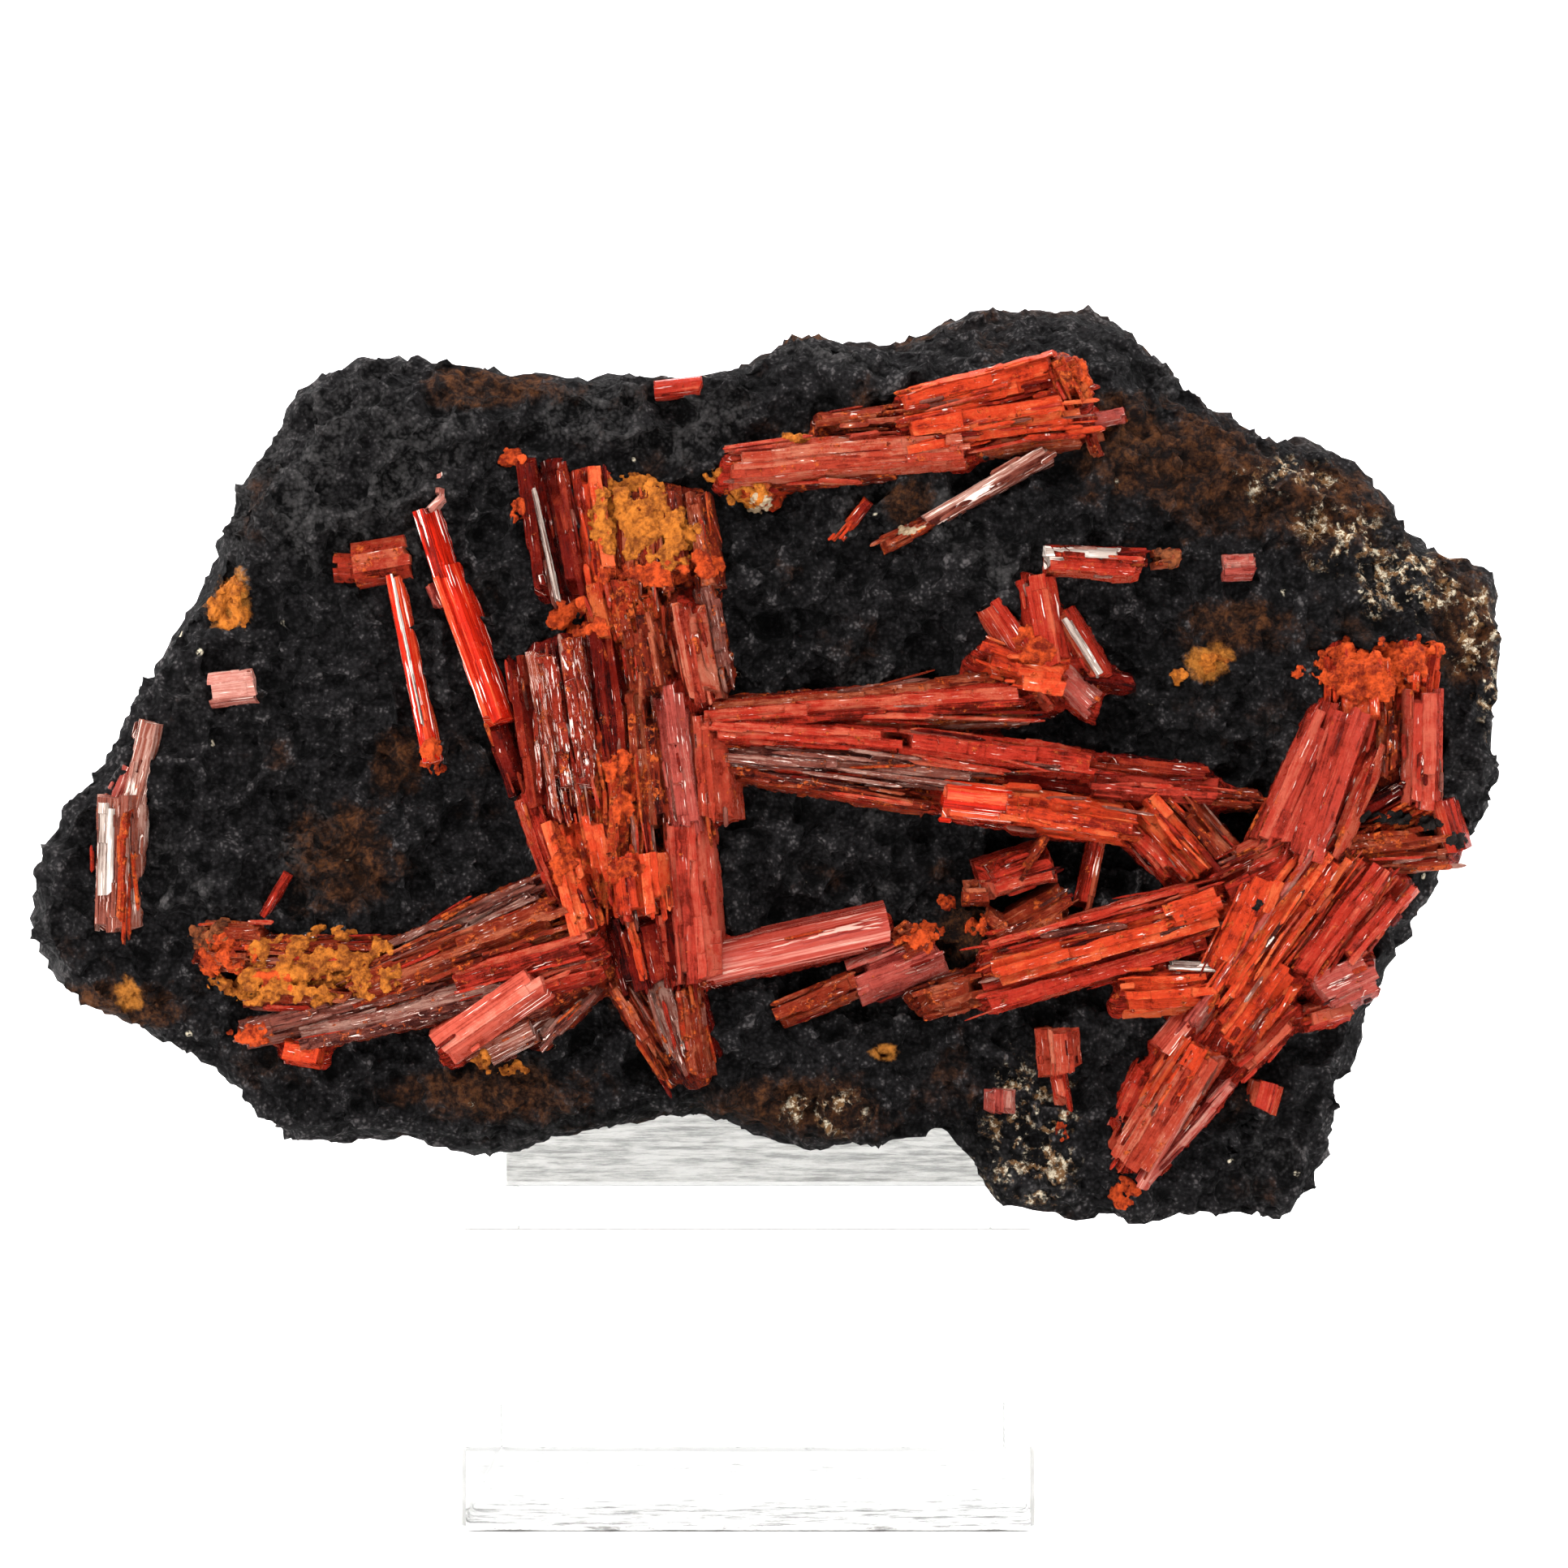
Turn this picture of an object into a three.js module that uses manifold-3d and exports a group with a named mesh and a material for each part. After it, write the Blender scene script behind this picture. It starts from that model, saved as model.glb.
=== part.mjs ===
// Crocoite on goethite: a slab of dark goethite matrix overgrown with red crocoite
// crystals, set on an L-shaped block of clear acrylic. Millimetres, +Z up, the
// crystal-bearing face looks along -Y, and the origin is the centre of the
// block's underside.
import * as THREE from 'three';
import Module from 'manifold-3d';
import { ImprovedNoise } from 'three/addons/math/ImprovedNoise.js';
import { mergeVertices } from 'three/addons/utils/BufferGeometryUtils.js';

// Driving dimensions.
const CONTACT_GAP = 0.3;        // between pieces that touch
const FACET = 0.05;             // edges and slivers finer than this are merged away
const STAND_WIDTH = 40;         // along X
const STAND_FRONT = -28;        // Y of the low front face
const STAND_REAR = 28;          // Y of the rear face
const SEAT_HEIGHT = 21;         // top of the low front part
const RISER_FRONT = 9.5;        // Y of the step up to the rear part
const RISER_HEIGHT = 27.5;      // top of the rear part
const FACE_Y = -17;             // mean plane of the crystal-bearing face
const BACK_Y = 22;              // mean plane of the broken back
const UNDERSIDE_Z = 27.3;       // level of the matrix where it lies on the riser

// Colours of the four substances.
const GOETHITE = { color: 0x1f1d1e, roughness: 0.85, flatShading: true };
const CROCOITE = { color: 0xc8341a, roughness: 0.32, flatShading: true };
const ACRYLIC = { color: 0xe8eef0, roughness: 0.12, transparent: true, opacity: 0.45 };

// Edge of the face as seen from the front, clockwise from the upper left:
// [x, z, width of the broken lip, how far the lip falls back].
const FACE_EDGE = [
[-32.1, 83.4, 5, 11], [-29.2, 84.9, 4, 10], [-25.1, 84.3, 3, 8], [-20.9, 83.2, 2.5, 6],
  [-17.1, 82.8, 2, 4], [-11.1, 83.2, 2, 4], [-4.5, 83.2, 2, 4], [-1.2, 83.7, 2, 5],
  [1.5, 84.8, 2.5, 9], [3.4, 86.8, 4, 16], [5.3, 87.5, 4.5, 17], [7.1, 86.4, 4, 15],
  [9.9, 86.4, 4.5, 17], [12.7, 87.6, 5.5, 20], [15.5, 89.4, 7, 23], [19.7, 90.1, 7.5, 24],
  [22.4, 90.4, 7.5, 24], [25.2, 89.5, 7, 22], [27.0, 88.9, 7, 20], [30.2, 85.5, 5.5, 18],
  [32.4, 83.6, 5, 16], [34.4, 81.2, 3.5, 12], [36.5, 79.9, 2.5, 8], [38.2, 78.8, 3, 9],
  [41.0, 78.8, 5, 13], [43.5, 78.8, 6, 15], [45.5, 77.2, 6.5, 15], [48.2, 74.8, 6.5, 14],
  [49.9, 71.8, 6, 13], [52.2, 70.1, 5.5, 12], [55.7, 68.8, 6, 12], [56.7, 67.1, 4, 10],
  [55.6, 64.5, 2.5, 8], [55.7, 61.8, 2.5, 8], [55.9, 59.6, 2, 8], [55.5, 56.3, 2, 8],
  [54.9, 52.9, 1.5, 7], [53.8, 49.3, 1.5, 7], [52.0, 46.8, 1.5, 7], [50.0, 45.3, 1.5, 7],
  [48.2, 40.9, 1.5, 8], [47.4, 39.2, 1.5, 8], [45.0, 34.5, 1.8, 9], [43.9, 30.0, 2, 10],
  [42.8, 26.6, 2, 10], [42.2, 22.9, 2, 10], [41.5, 20.8, 2, 9], [39.6, 20.0, 1.2, 4],
  [35.1, 20.5, 0.8, 2], [30.8, 20.8, 0.8, 2], [26.5, 21.1, 0.8, 2], [22.4, 20.8, 0.8, 2],
  [19.1, 21.4, 0.8, 2], [17.2, 22.1, 0.8, 2], [16.7, 25.0, 0.8, 2.5], [16.0, 26.4, 1, 3],
  [13.6, 26.3, 1.2, 4], [8.8, 26.1, 1.2, 4], [4.5, 26.0, 1.2, 4], [1.8, 26.9, 1.2, 4],
  [-1.2, 27.8, 1.5, 5], [-4.5, 28.3, 1.5, 6], [-8.3, 27.6, 2.5, 9], [-12.0, 26.7, 3, 11],
  [-15.2, 25.6, 3.5, 12], [-18.8, 24.7, 3.5, 13], [-20.7, 24.2, 3.5, 13], [-23.4, 25.7, 3, 12],
  [-25.9, 26.9, 2.5, 11], [-29.0, 25.7, 2.5, 11], [-31.2, 25.2, 2.5, 10], [-33.6, 26.0, 2, 9],
  [-35.4, 25.4, 2, 8], [-36.7, 27.4, 2, 7], [-37.8, 29.6, 1.5, 6], [-39.3, 32.1, 1.5, 6],
  [-41.3, 34.2, 1.5, 6], [-44.2, 34.3, 2, 6], [-46.9, 35.6, 2, 6], [-49.9, 36.4, 2, 6],
  [-51.9, 38.0, 2, 6], [-52.9, 40.5, 2, 6], [-53.4, 43.7, 2, 6], [-52.9, 46.1, 2, 6],
  [-50.7, 50.2, 2, 6], [-48.8, 52.6, 2, 6], [-47.6, 55.3, 2, 6], [-45.9, 57.9, 2.5, 7],
  [-45.9, 59.8, 3, 8], [-43.2, 63.3, 3.5, 9], [-41.6, 66.1, 4, 10], [-40.4, 69.7, 4, 11],
  [-39.8, 72.7, 4, 11], [-38.7, 75.3, 4, 12], [-36.5, 78.3, 5, 12], [-34.9, 81.5, 5, 12], 
];
const FACE_CENTRE = { x: 10.4, z: 53.3 };

// Hollows (negative) and swellings (positive) of the face: [x, z, radius, height].
const RELIEF_FEATURES = [
  [29.4, 55.5, 9, -2.4], [35.6, 49.7, 2.6, -2.6], [8.1, 47.0, 8, -2.0], [22.3, 46.2, 5, -1.8],
  [-0.7, 63.9, 2.2, -2.2], [1.0, 72.8, 2.6, -1.6], [-19.0, 53.0, 3.4, -1.6], [-9.5, 33.6, 4.5, -1.4],
  [-30.0, 50.5, 7, -1.2], [13.0, 34.0, 7, -1.0], [47.5, 57.0, 3, -1.6],
  [-18.4, 63.4, 2.6, 1.8], [-26.0, 76.0, 8, 1.4], [-41.0, 48.0, 7, 1.5], [18.0, 69.0, 7, 1.2],
  [43.0, 66.0, 6, 1.4], [30.0, 27.5, 7, 1.2], [2.0, 36.0, 6, 1.0], [-30.0, 63.0, 6, 0.8],
];

// Flat breaks across the sides and back: [point of the plane], [outward normal].
const BREAKS = [
  [[-34, 20, 66], [-0.55, 0.75, 0.36]], [[46, 18, 66], [0.62, 0.7, 0.34]],
  [[-40, 16, 36], [-0.5, 0.72, -0.48]], [[46, 14, 40], [0.72, 0.62, -0.3]],
  [[6, 24, 60], [0.08, 0.99, 0.1]], [[14, 19, 84], [-0.1, 0.6, 0.8]],
];

const LUMP_HEIGHT = 1.5;
const FACE_CELLS = 23;          // cells across the face, and up it
const LIP_CELLS = 2;            // of those, on the lip at each edge
const WALL_CELLS = 5;           // cells from the face to the back
const BACK_TAPER = 0.08;        // how much smaller the back is than the face

// Ends of a crystal: how oblique the end face is, how much the end narrows,
// and over what length, both as parts of the crystal's width.
const CUT = { slant: 0.1, end: 1, length: 0 };
const SLANT = { slant: 0.55, end: 1, length: 0 };
const POINT = { slant: 0.1, end: 0.42, length: 0.55 };

// Section of a crystal seen along its axis, as parts of its width and thickness.
// Its last two corners reach down by the root, into the matrix it grew on.
const SECTION = [
  [-0.5, -0.12], [-0.3, -0.5], [0.22, -0.5], [0.5, -0.05], [0.34, 0.5], [-0.34, 0.5],
];
const ROOT_DEPTH = 2.5;

// Every crystal of each growth: [name, x and z of one end, x and z of the other,
// width, thickness, height of its axis over FACE_Y at each end, roll in degrees,
// form of each end].
const GROWTHS = {
  left_spray: [
    ['far_left_lath', -16.3, 76.3, -14.8, 65.7, 1.2, 1.8, 0.6, 1, 10, CUT, SLANT],
    ['streak_lath', -15.4, 74.1, -13.6, 65.2, 0.9, 2.0, 1.2, 1.6, -20, SLANT, CUT],
    ['inner_lath', -14.4, 76.0, -12.5, 65.6, 1.8, 2.0, 0.8, 1.4, 5, CUT, CUT],
    ['second_column', -11.7, 75.3, -10.4, 65.6, 2.5, 2.6, 0.8, 1.4, -8, CUT, CUT],
    ['crusted_column', -7.8, 74.1, -7.0, 65.6, 5.0, 2.4, 0.6, 1.2, 0, CUT, CUT],
    ['right_top_lath', -4.0, 73.7, -2.7, 66.4, 1.8, 2.1, 0.4, 1.2, 12, SLANT, CUT],
    ['rough_tier', -9.6, 67.1, -8.6, 62.2, 5.0, 3.1, 1.4, 1.8, 0, CUT, CUT],
    ['right_block', -4.8, 65.4, -3.4, 57.9, 2.7, 3.3, 2, 2.4, 14, SLANT, CUT],
    ['right_edge_lath', -3.4, 66.7, -1.9, 59.4, 1.3, 2.4, 0.8, 1.2, -18, CUT, SLANT],
    ['dark_edge_lath', -16.9, 61.7, -15.1, 50.3, 1.4, 2.6, 1, 1.8, 16, SLANT, CUT],
    ['glint_lath', -14.9, 62.4, -13.0, 50.3, 2.6, 3.0, 2, 2.4, -6, CUT, CUT],
    ['glint_ridge', -13.0, 62.9, -11.1, 50.4, 1.3, 3.1, 2.4, 2.8, 20, SLANT, CUT],
    ['core_lath', -10.9, 64.1, -9.2, 49.7, 2.7, 3.0, 1.4, 2, 0, CUT, CUT],
    ['speckled_lath', -7.9, 64.5, -7.0, 58.9, 3.0, 3.6, 2.2, 2.4, 8, CUT, CUT],
    ['grey_glint_lath', -5.8, 59.4, -4.3, 48.5, 2.6, 3.3, 2.2, 2.6, -10, SLANT, CUT],
    ['right_bulge', -3.4, 57.7, -2.7, 49.5, 3.0, 2.8, 1.6, 2, 22, SLANT, SLANT],
    ['orange_core', -9.6, 54.5, -8.4, 43.3, 3.7, 3.3, 2.2, 2.8, 0, CUT, CUT],
    ['striated_plate', -11.2, 50.3, -10.2, 45.0, 3.0, 2.7, 2.6, 2.8, -6, CUT, CUT],
    ['lower_right_column', -4.6, 49.7, -3.7, 37.8, 3.1, 3.2, 2, 2.4, 12, CUT, CUT],
    ['orange_block', -9.7, 44.6, -6.1, 44.3, 3.0, 3.6, 3.2, 3.2, 0, CUT, CUT],
    ['left_flank', -16.0, 51.5, -12.9, 43.0, 2.0, 2.4, 1.2, 2, 0, CUT, CUT],
    ['left_flank_inner', -14.0, 49.7, -11.5, 41.4, 2.0, 2.6, 1.8, 2.6, 10, CUT, CUT],
    ['hollow_laths', -8.0, 43.2, -6.6, 37.4, 5.0, 2.8, 1.8, 1.6, 0, CUT, CUT],
    ['foot_left', -9.7, 38.7, -5.2, 31.0, 2.3, 2.1, 1.2, 0.6, 10, CUT, SLANT],
    ['foot_middle', -7.0, 39.1, -4.3, 31.3, 2.0, 2.4, 1.4, 0.8, -12, CUT, CUT],
    ['foot_red', -4.6, 38.0, -3.4, 30.7, 2.0, 2.5, 1.6, 0.9, 6, CUT, SLANT],
    ['foot_right', -4.3, 38.5, -2.4, 32.1, 1.4, 2.0, 1, 0.4, -8, CUT, SLANT],
    ['striated_crystal', -3.9, 38.8, 10.2, 41.9, 2.8, 3.1, 1.2, 1.2, 14, CUT, POINT],
    ['fan_top', -26.9, 39.0, -14.9, 44.4, 2.7, 2.6, 0.6, 1.6, 0, SLANT, CUT],
    ['fan_second', -29.2, 36.9, -12.5, 42.9, 3.0, 2.8, 0.9, 2.2, 8, SLANT, CUT],
    ['fan_core', -21.5, 37.2, -10.6, 40.5, 3.7, 3.1, 1.6, 2.6, 0, CUT, CUT],
    ['fan_long', -37.1, 34.0, -21.5, 37.5, 2.0, 2.1, 0.4, 1.2, -6, SLANT, CUT],
    ['fan_low', -32.7, 34.0, -16.8, 37.6, 2.4, 2.4, 0.6, 1.8, 10, SLANT, CUT],
    ['salmon_prism', -22.1, 33.3, -11.6, 38.7, 3.1, 3.3, 1.4, 2.4, -10, SLANT, CUT],
    ['grey_foot', -15.4, 33.3, -10.6, 38.2, 1.3, 2.0, 0.7, 1.6, 14, SLANT, CUT],
    ['striped_stub', -19.2, 32.8, -15.4, 34.8, 2.1, 2.3, 0.8, 1.2, 0, CUT, CUT],
    ['left_blob', -39.9, 40.6, -35.2, 40.4, 3.4, 2.4, 0.5, 0.7, 0, SLANT, CUT],
    ['crust_bed', -36.9, 38.7, -26.4, 38.7, 4.9, 2.3, 0.5, 0.8, 0, CUT, CUT],
    ['end_block', -33.9, 33.1, -30.8, 32.6, 2.0, 2.4, 0.5, 0.7, 0, SLANT, CUT],
  ],
  centre_bundle: [
    ['upper_back', -3.4, 57.8, 19.1, 59.4, 1.2, 2.4, 0.8, 0.9, 0, CUT, SLANT],
    ['upper_main', -3.4, 57.1, 20.0, 58.5, 1.8, 2.7, 1.4, 1.4, 8, CUT, CUT],
    ['upper_low', 8.1, 56.2, 20.4, 57.4, 1.2, 2.1, 0.8, 0.8, -8, CUT, SLANT],
    ['lower_first', -3.5, 56.1, 11.5, 55.1, 1.8, 2.8, 1.8, 1.7, 0, CUT, CUT],
    ['lower_second', 10.4, 55.4, 25.1, 53.4, 2.0, 3.0, 1.6, 1.5, 10, SLANT, CUT],
    ['dark_top', 24.1, 53.8, 33.4, 52.9, 1.3, 2.4, 0.8, 0.6, -10, CUT, SLANT],
    ['pink_face', 24.6, 52.3, 34.2, 51.6, 2.0, 2.8, 1.4, 1, 6, CUT, CUT],
    ['needle_tip', 30.0, 51.6, 37.4, 51.1, 1.1, 2.0, 0.8, 0.4, 0, CUT, SLANT],
    ['grey_lower', -3.1, 54.5, 18.0, 52.6, 2.0, 2.5, 1.2, 1, -6, CUT, CUT],
    ['brown_lower', -2.2, 53.4, 13.4, 51.2, 1.4, 2.3, 0.8, 0.7, 0, CUT, SLANT],
    ['dark_filler', 16.7, 53.0, 25.2, 51.9, 1.4, 2.0, 0.5, 0.5, 0, CUT, CUT],
    ['bright_stub', 14.0, 51.2, 27.7, 49.4, 2.7, 3.6, 2, 1.6, 12, POINT, SLANT],
    ['bright_under', 19.3, 49.6, 23.8, 49.0, 1.2, 2.4, 0.8, 0.8, 0, SLANT, SLANT],
    ['arm_right', 30.6, 51.7, 35.0, 46.7, 2.3, 2.6, 1, 1.4, 8, CUT, CUT],
    ['arm_middle', 28.0, 51.6, 33.2, 45.8, 2.5, 2.8, 1.4, 1.8, -8, CUT, CUT],
    ['arm_left', 25.6, 51.2, 31.3, 45.1, 1.5, 2.4, 0.9, 1.2, 0, CUT, SLANT],
    ['flower_body', 16.6, 61.8, 21.7, 59.9, 2.8, 3.0, 1.4, 1.8, 0, SLANT, CUT],
    ['flower_core', 18.3, 60.6, 23.3, 60.0, 2.4, 3.2, 2, 2, 20, SLANT, SLANT],
    ['flower_top', 20.6, 67.3, 21.8, 60.0, 3.0, 3.0, 1.2, 2, 8, SLANT, CUT],
    ['flower_leaf', 17.3, 65.6, 20.5, 60.6, 2.0, 2.4, 1, 2, -10, SLANT, CUT],
    ['white_rod', 22.8, 64.7, 25.2, 60.0, 1.4, 2.4, 1.6, 1.8, 20, SLANT, SLANT],
    ['rod_low_left', 20.0, 60.6, 22.3, 57.7, 1.3, 2.1, 1.4, 1, 0, CUT, CUT],
    ['rod_low_right', 22.0, 60.7, 25.2, 57.9, 2.0, 2.4, 1.6, 1, 10, CUT, SLANT],
    ['rod_side', 24.1, 60.3, 28.0, 59.7, 1.1, 1.8, 1, 0.5, 0, CUT, SLANT],
  ],
  right_spray: [
    ['top_lumps', 44.3, 61.8, 44.2, 56.2, 4.5, 3.0, 1, 1.6, 0, SLANT, CUT],
    ['top_right_lump', 48.7, 62.6, 48.3, 58.5, 3.2, 2.7, 0.7, 1, 0, SLANT, CUT],
    ['arm_left_lath', 42.2, 57.2, 37.8, 47.7, 2.7, 3.1, 1.4, 2, 8, SLANT, CUT],
    ['arm_mid_lath', 43.6, 57.7, 39.7, 46.8, 3.3, 3.6, 2, 2.6, -6, CUT, CUT],
    ['arm_right_lath', 45.3, 55.5, 41.6, 46.8, 2.0, 3.0, 1.6, 2.2, 14, CUT, CUT],
    ['right_column', 48.9, 59.3, 48.8, 50.3, 2.3, 3.3, 1.6, 1.4, 0, SLANT, CUT],
    ['column_link', 46.4, 57.8, 46.2, 52.8, 1.8, 2.4, 1.2, 1.2, 0, CUT, CUT],
    ['column_bar', 45.4, 55.4, 48.7, 55.1, 1.4, 2.0, 1, 1, 0, CUT, CUT],
    ['recess_lath_high', 43.4, 49.7, 49.0, 53.0, 1.2, 2.0, 0.8, 0.8, 0, CUT, CUT],
    ['recess_lath_low', 44.1, 48.5, 49.5, 51.2, 2.1, 2.1, 0.8, 0.9, 0, CUT, CUT],
    ['far_right_stub', 50.2, 51.3, 51.4, 47.4, 2.4, 3.3, 0.6, 0.4, 10, SLANT, SLANT],
    ['brown_arch', 42.4, 47.4, 50.9, 48.2, 3.6, 2.4, 0.8, 0.4, 0, CUT, SLANT],
    ['body_right', 47.5, 45.7, 42.4, 39.8, 2.8, 2.7, 0.6, 1.4, -6, CUT, CUT],
    ['body_middle', 45.4, 46.5, 39.2, 38.2, 3.3, 3.2, 1.4, 2, 6, CUT, CUT],
    ['body_left', 42.4, 48.0, 34.1, 36.3, 3.6, 3.6, 2.4, 2.6, 0, CUT, CUT],
    ['long_pale_rod', 42.3, 49.4, 31.5, 34.0, 1.1, 3.0, 3.2, 2.8, 20, SLANT, SLANT],
    ['junction_left', 40.0, 48.0, 33.9, 45.0, 3.2, 3.1, 2, 2, 0, CUT, CUT],
    ['junction_fan', 37.4, 45.7, 34.1, 38.1, 3.7, 3.3, 2.6, 2.4, 0, CUT, CUT],
    ['corner_block', 45.0, 38.7, 40.8, 36.9, 3.7, 3.6, 0.8, 1.6, 0, SLANT, CUT],
    ['corner_foot', 43.5, 36.1, 40.0, 35.2, 1.9, 2.4, 0.5, 0.8, 0, SLANT, CUT],
    ['left_stub', 26.8, 37.2, 34.1, 37.8, 3.6, 3.3, 1.6, 2.2, 0, SLANT, CUT],
    ['left_stub_glint', 29.4, 39.0, 34.1, 39.1, 1.5, 2.7, 2.2, 2.4, 14, SLANT, SLANT],
    ['lower_bright', 38.5, 39.2, 34.4, 33.4, 3.7, 3.6, 2.4, 2.4, 8, SLANT, CUT],
    ['lower_right_rod', 39.7, 36.1, 35.3, 31.6, 1.8, 2.6, 1.6, 1.6, -10, CUT, CUT],
    ['lower_shoulder', 33.5, 36.9, 30.0, 32.6, 2.6, 2.6, 1.6, 1.4, 0, CUT, CUT],
    ['lower_main', 32.8, 33.6, 27.3, 24.5, 3.9, 3.3, 2.2, 1, 6, SLANT, SLANT],
    ['lower_edge', 28.8, 31.8, 26.3, 26.6, 1.4, 2.4, 1, 0.6, 0, SLANT, SLANT],
    ['lower_thin_rod', 33.9, 33.0, 28.3, 23.0, 1.1, 2.7, 2.4, 1, 20, SLANT, SLANT],
    ['lower_pale_rod', 34.8, 31.0, 28.4, 23.3, 1.3, 2.6, 1.6, 0.8, -8, SLANT, SLANT],
    ['branch_top', 34.1, 44.6, 17.2, 39.7, 1.7, 3.0, 2, 1.2, 10, CUT, SLANT],
    ['branch_middle', 34.0, 43.2, 17.5, 38.5, 2.5, 3.2, 2.2, 1.2, 0, CUT, CUT],
    ['branch_low', 33.5, 41.6, 17.0, 36.8, 2.3, 2.6, 1.4, 0.8, -8, CUT, CUT],
    ['branch_end', 17.2, 37.8, 12.0, 36.3, 2.6, 2.3, 0.8, 0.5, 0, CUT, SLANT],
    ['branch_block', 34.1, 43.8, 30.1, 42.5, 2.6, 3.3, 2.8, 2.4, 12, SLANT, SLANT],
  ],
  upper_bundle: [
    ['left_lower', -1.9, 75.3, 16.1, 76.9, 3.0, 3.1, 1.4, 1.4, 6, SLANT, CUT],
    ['left_under', 1.0, 74.5, 12.6, 75.8, 1.5, 2.6, 0.8, 0.8, -8, SLANT, SLANT],
    ['left_upper', 4.8, 78.4, 11.7, 79.1, 1.8, 2.4, 0.7, 0.9, 0, CUT, CUT],
    ['upper_face', 10.6, 79.2, 23.0, 82.2, 3.1, 3.0, 1.2, 1.6, 0, SLANT, CUT],
    ['lower_face', 11.0, 77.4, 24.4, 79.5, 3.1, 3.4, 1.8, 1.8, 10, CUT, SLANT],
    ['end_lump', 22.3, 83.1, 23.8, 79.5, 2.7, 3.3, 1.8, 1.8, 0, CUT, CUT],
    ['low_edge', 16.1, 76.9, 24.2, 77.9, 1.5, 2.6, 1.2, 1, -10, CUT, CUT],
    ['crust_left', -1.1, 74.4, 2.0, 73.5, 1.8, 2.1, 0.6, 0.8, 0, SLANT, SLANT],
    ['side_lath', 23.6, 78.7, 27.6, 79.3, 1.1, 2.1, 0.8, 0.5, 0, CUT, CUT],
  ],
  hammer_crystal: [
    ['head', -30.1, 68.1, -24.6, 68.8, 3.0, 3.0, 0.9, 1.1, 0, POINT, SLANT],
    ['needle', -26.2, 67.9, -23.2, 53.9, 1.5, 2.5, 0.9, 0.7, 20, CUT, CUT],
  ],
  bright_lath: [
    ['upper', -23.7, 72.4, -22.0, 67.1, 1.7, 2.6, 1, 1.2, 14, SLANT, CUT],
    ['main', -22.3, 68.1, -18.1, 56.4, 2.0, 2.8, 1.2, 1.2, 14, CUT, CUT],
    ['lower', -18.6, 57.0, -16.7, 51.5, 1.4, 2.5, 0.9, 0.7, 14, CUT, SLANT],
    ['neck', -23.4, 71.8, -22.2, 73.6, 1.0, 2.2, 1.4, 1.3, 0, CUT, CUT],
    ['bent_top', -22.6, 72.7, -22.5, 75.0, 1.0, 2.2, 1.3, 1.2, 0, CUT, SLANT],
    ['side_bud', -23.3, 66.9, -22.4, 65.1, 0.9, 1.8, 0.4, 0.4, 0, SLANT, SLANT],
  ],
  slanting_rod: [
    ['rod', 21.6, 76.5, 13.3, 71.5, 1.7, 2.7, 1.1, 1.1, 16, SLANT, CUT],
    ['root', 13.8, 71.8, 9.4, 69.6, 1.2, 2.1, 0.6, 0.4, 0, CUT, SLANT],
  ],
  tiny_rod: [
    ['rod', 8.7, 73.1, 6.2, 70.0, 0.9, 2.0, 0.5, 0.4, 10, SLANT, CUT],
  ],
  level_stub: [
    ['stub', 21.2, 68.7, 29.9, 68.6, 2.1, 2.8, 1, 1, 10, SLANT, CUT],
    ['tip', 29.4, 68.7, 31.5, 68.9, 1.3, 2.1, 0.6, 0.4, 0, CUT, POINT],
  ],
  small_stub: [
    ['stub', 34.5, 68.1, 37.0, 68.2, 1.8, 2.4, 0.6, 0.6, 0, SLANT, SLANT],
  ],
  top_stub: [
    ['stub', -7.0, 81.1, -3.4, 81.5, 1.5, 2.5, 0.7, 0.7, 0, CUT, SLANT],
  ],
  wedge_lath: [
    ['thin_end', 1.9, 35.4, 8.4, 38.1, 2.0, 2.3, 0.5, 0.8, 0, SLANT, CUT],
    ['thick_end', 7.5, 37.8, 14.0, 40.3, 3.3, 2.6, 0.9, 1, 0, CUT, SLANT],
    ['crown', 10.7, 40.1, 12.8, 41.6, 2.6, 2.6, 1, 1, 0, SLANT, SLANT],
  ],
  short_prism: [
    ['prism', 16.4, 45.0, 22.2, 46.8, 2.6, 3.1, 1.2, 1, 12, CUT, SLANT],
    ['cross_blade', 19.1, 44.9, 21.3, 48.2, 0.8, 3.2, 2, 0.8, 0, CUT, SLANT],
    ['root', 15.4, 44.4, 17.5, 44.4, 1.8, 2.4, 0.6, 0.7, 0, SLANT, CUT],
  ],
  narrow_prism: [
    ['prism', 17.9, 41.2, 23.2, 44.2, 2.0, 2.7, 0.9, 0.9, 12, CUT, SLANT],
    ['root', 16.8, 42.7, 18.7, 41.7, 1.8, 2.3, 0.6, 0.7, 0, SLANT, CUT],
  ],
  thin_lath: [
    ['lath', 25.4, 48.9, 24.1, 43.1, 1.3, 2.1, 0.7, 0.7, 0, CUT, CUT],
  ],
  pink_stub: [
    ['stub', -39.3, 59.1, -35.8, 59.5, 2.4, 2.6, 0.8, 0.8, 8, CUT, CUT],
  ],
  edge_crystal: [
    ['taper', -43.7, 56.8, -45.4, 50.3, 2.6, 2.6, 0.4, 0.8, 0, SLANT, CUT],
    ['prism', -45.7, 51.7, -46.1, 41.4, 3.4, 3.2, 0.9, 0.5, 8, CUT, POINT],
  ],
  left_needle: [
    ['needle', -33.6, 45.9, -35.5, 42.6, 0.7, 2.0, 0.4, 0.4, 0, SLANT, CUT],
  ],
  club_crystal: [
    ['head', 22.3, 34.7, 22.6, 31.0, 3.0, 3.0, 1, 0.9, 0, POINT, SLANT],
    ['stem', 22.3, 32.0, 22.9, 28.5, 1.2, 2.3, 0.6, 0.4, 0, CUT, SLANT],
  ],
  corner_cube: [
    ['cube', 18.2, 30.2, 18.1, 28.2, 2.1, 2.6, 0.6, 0.6, 0, CUT, CUT],
  ],
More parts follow.
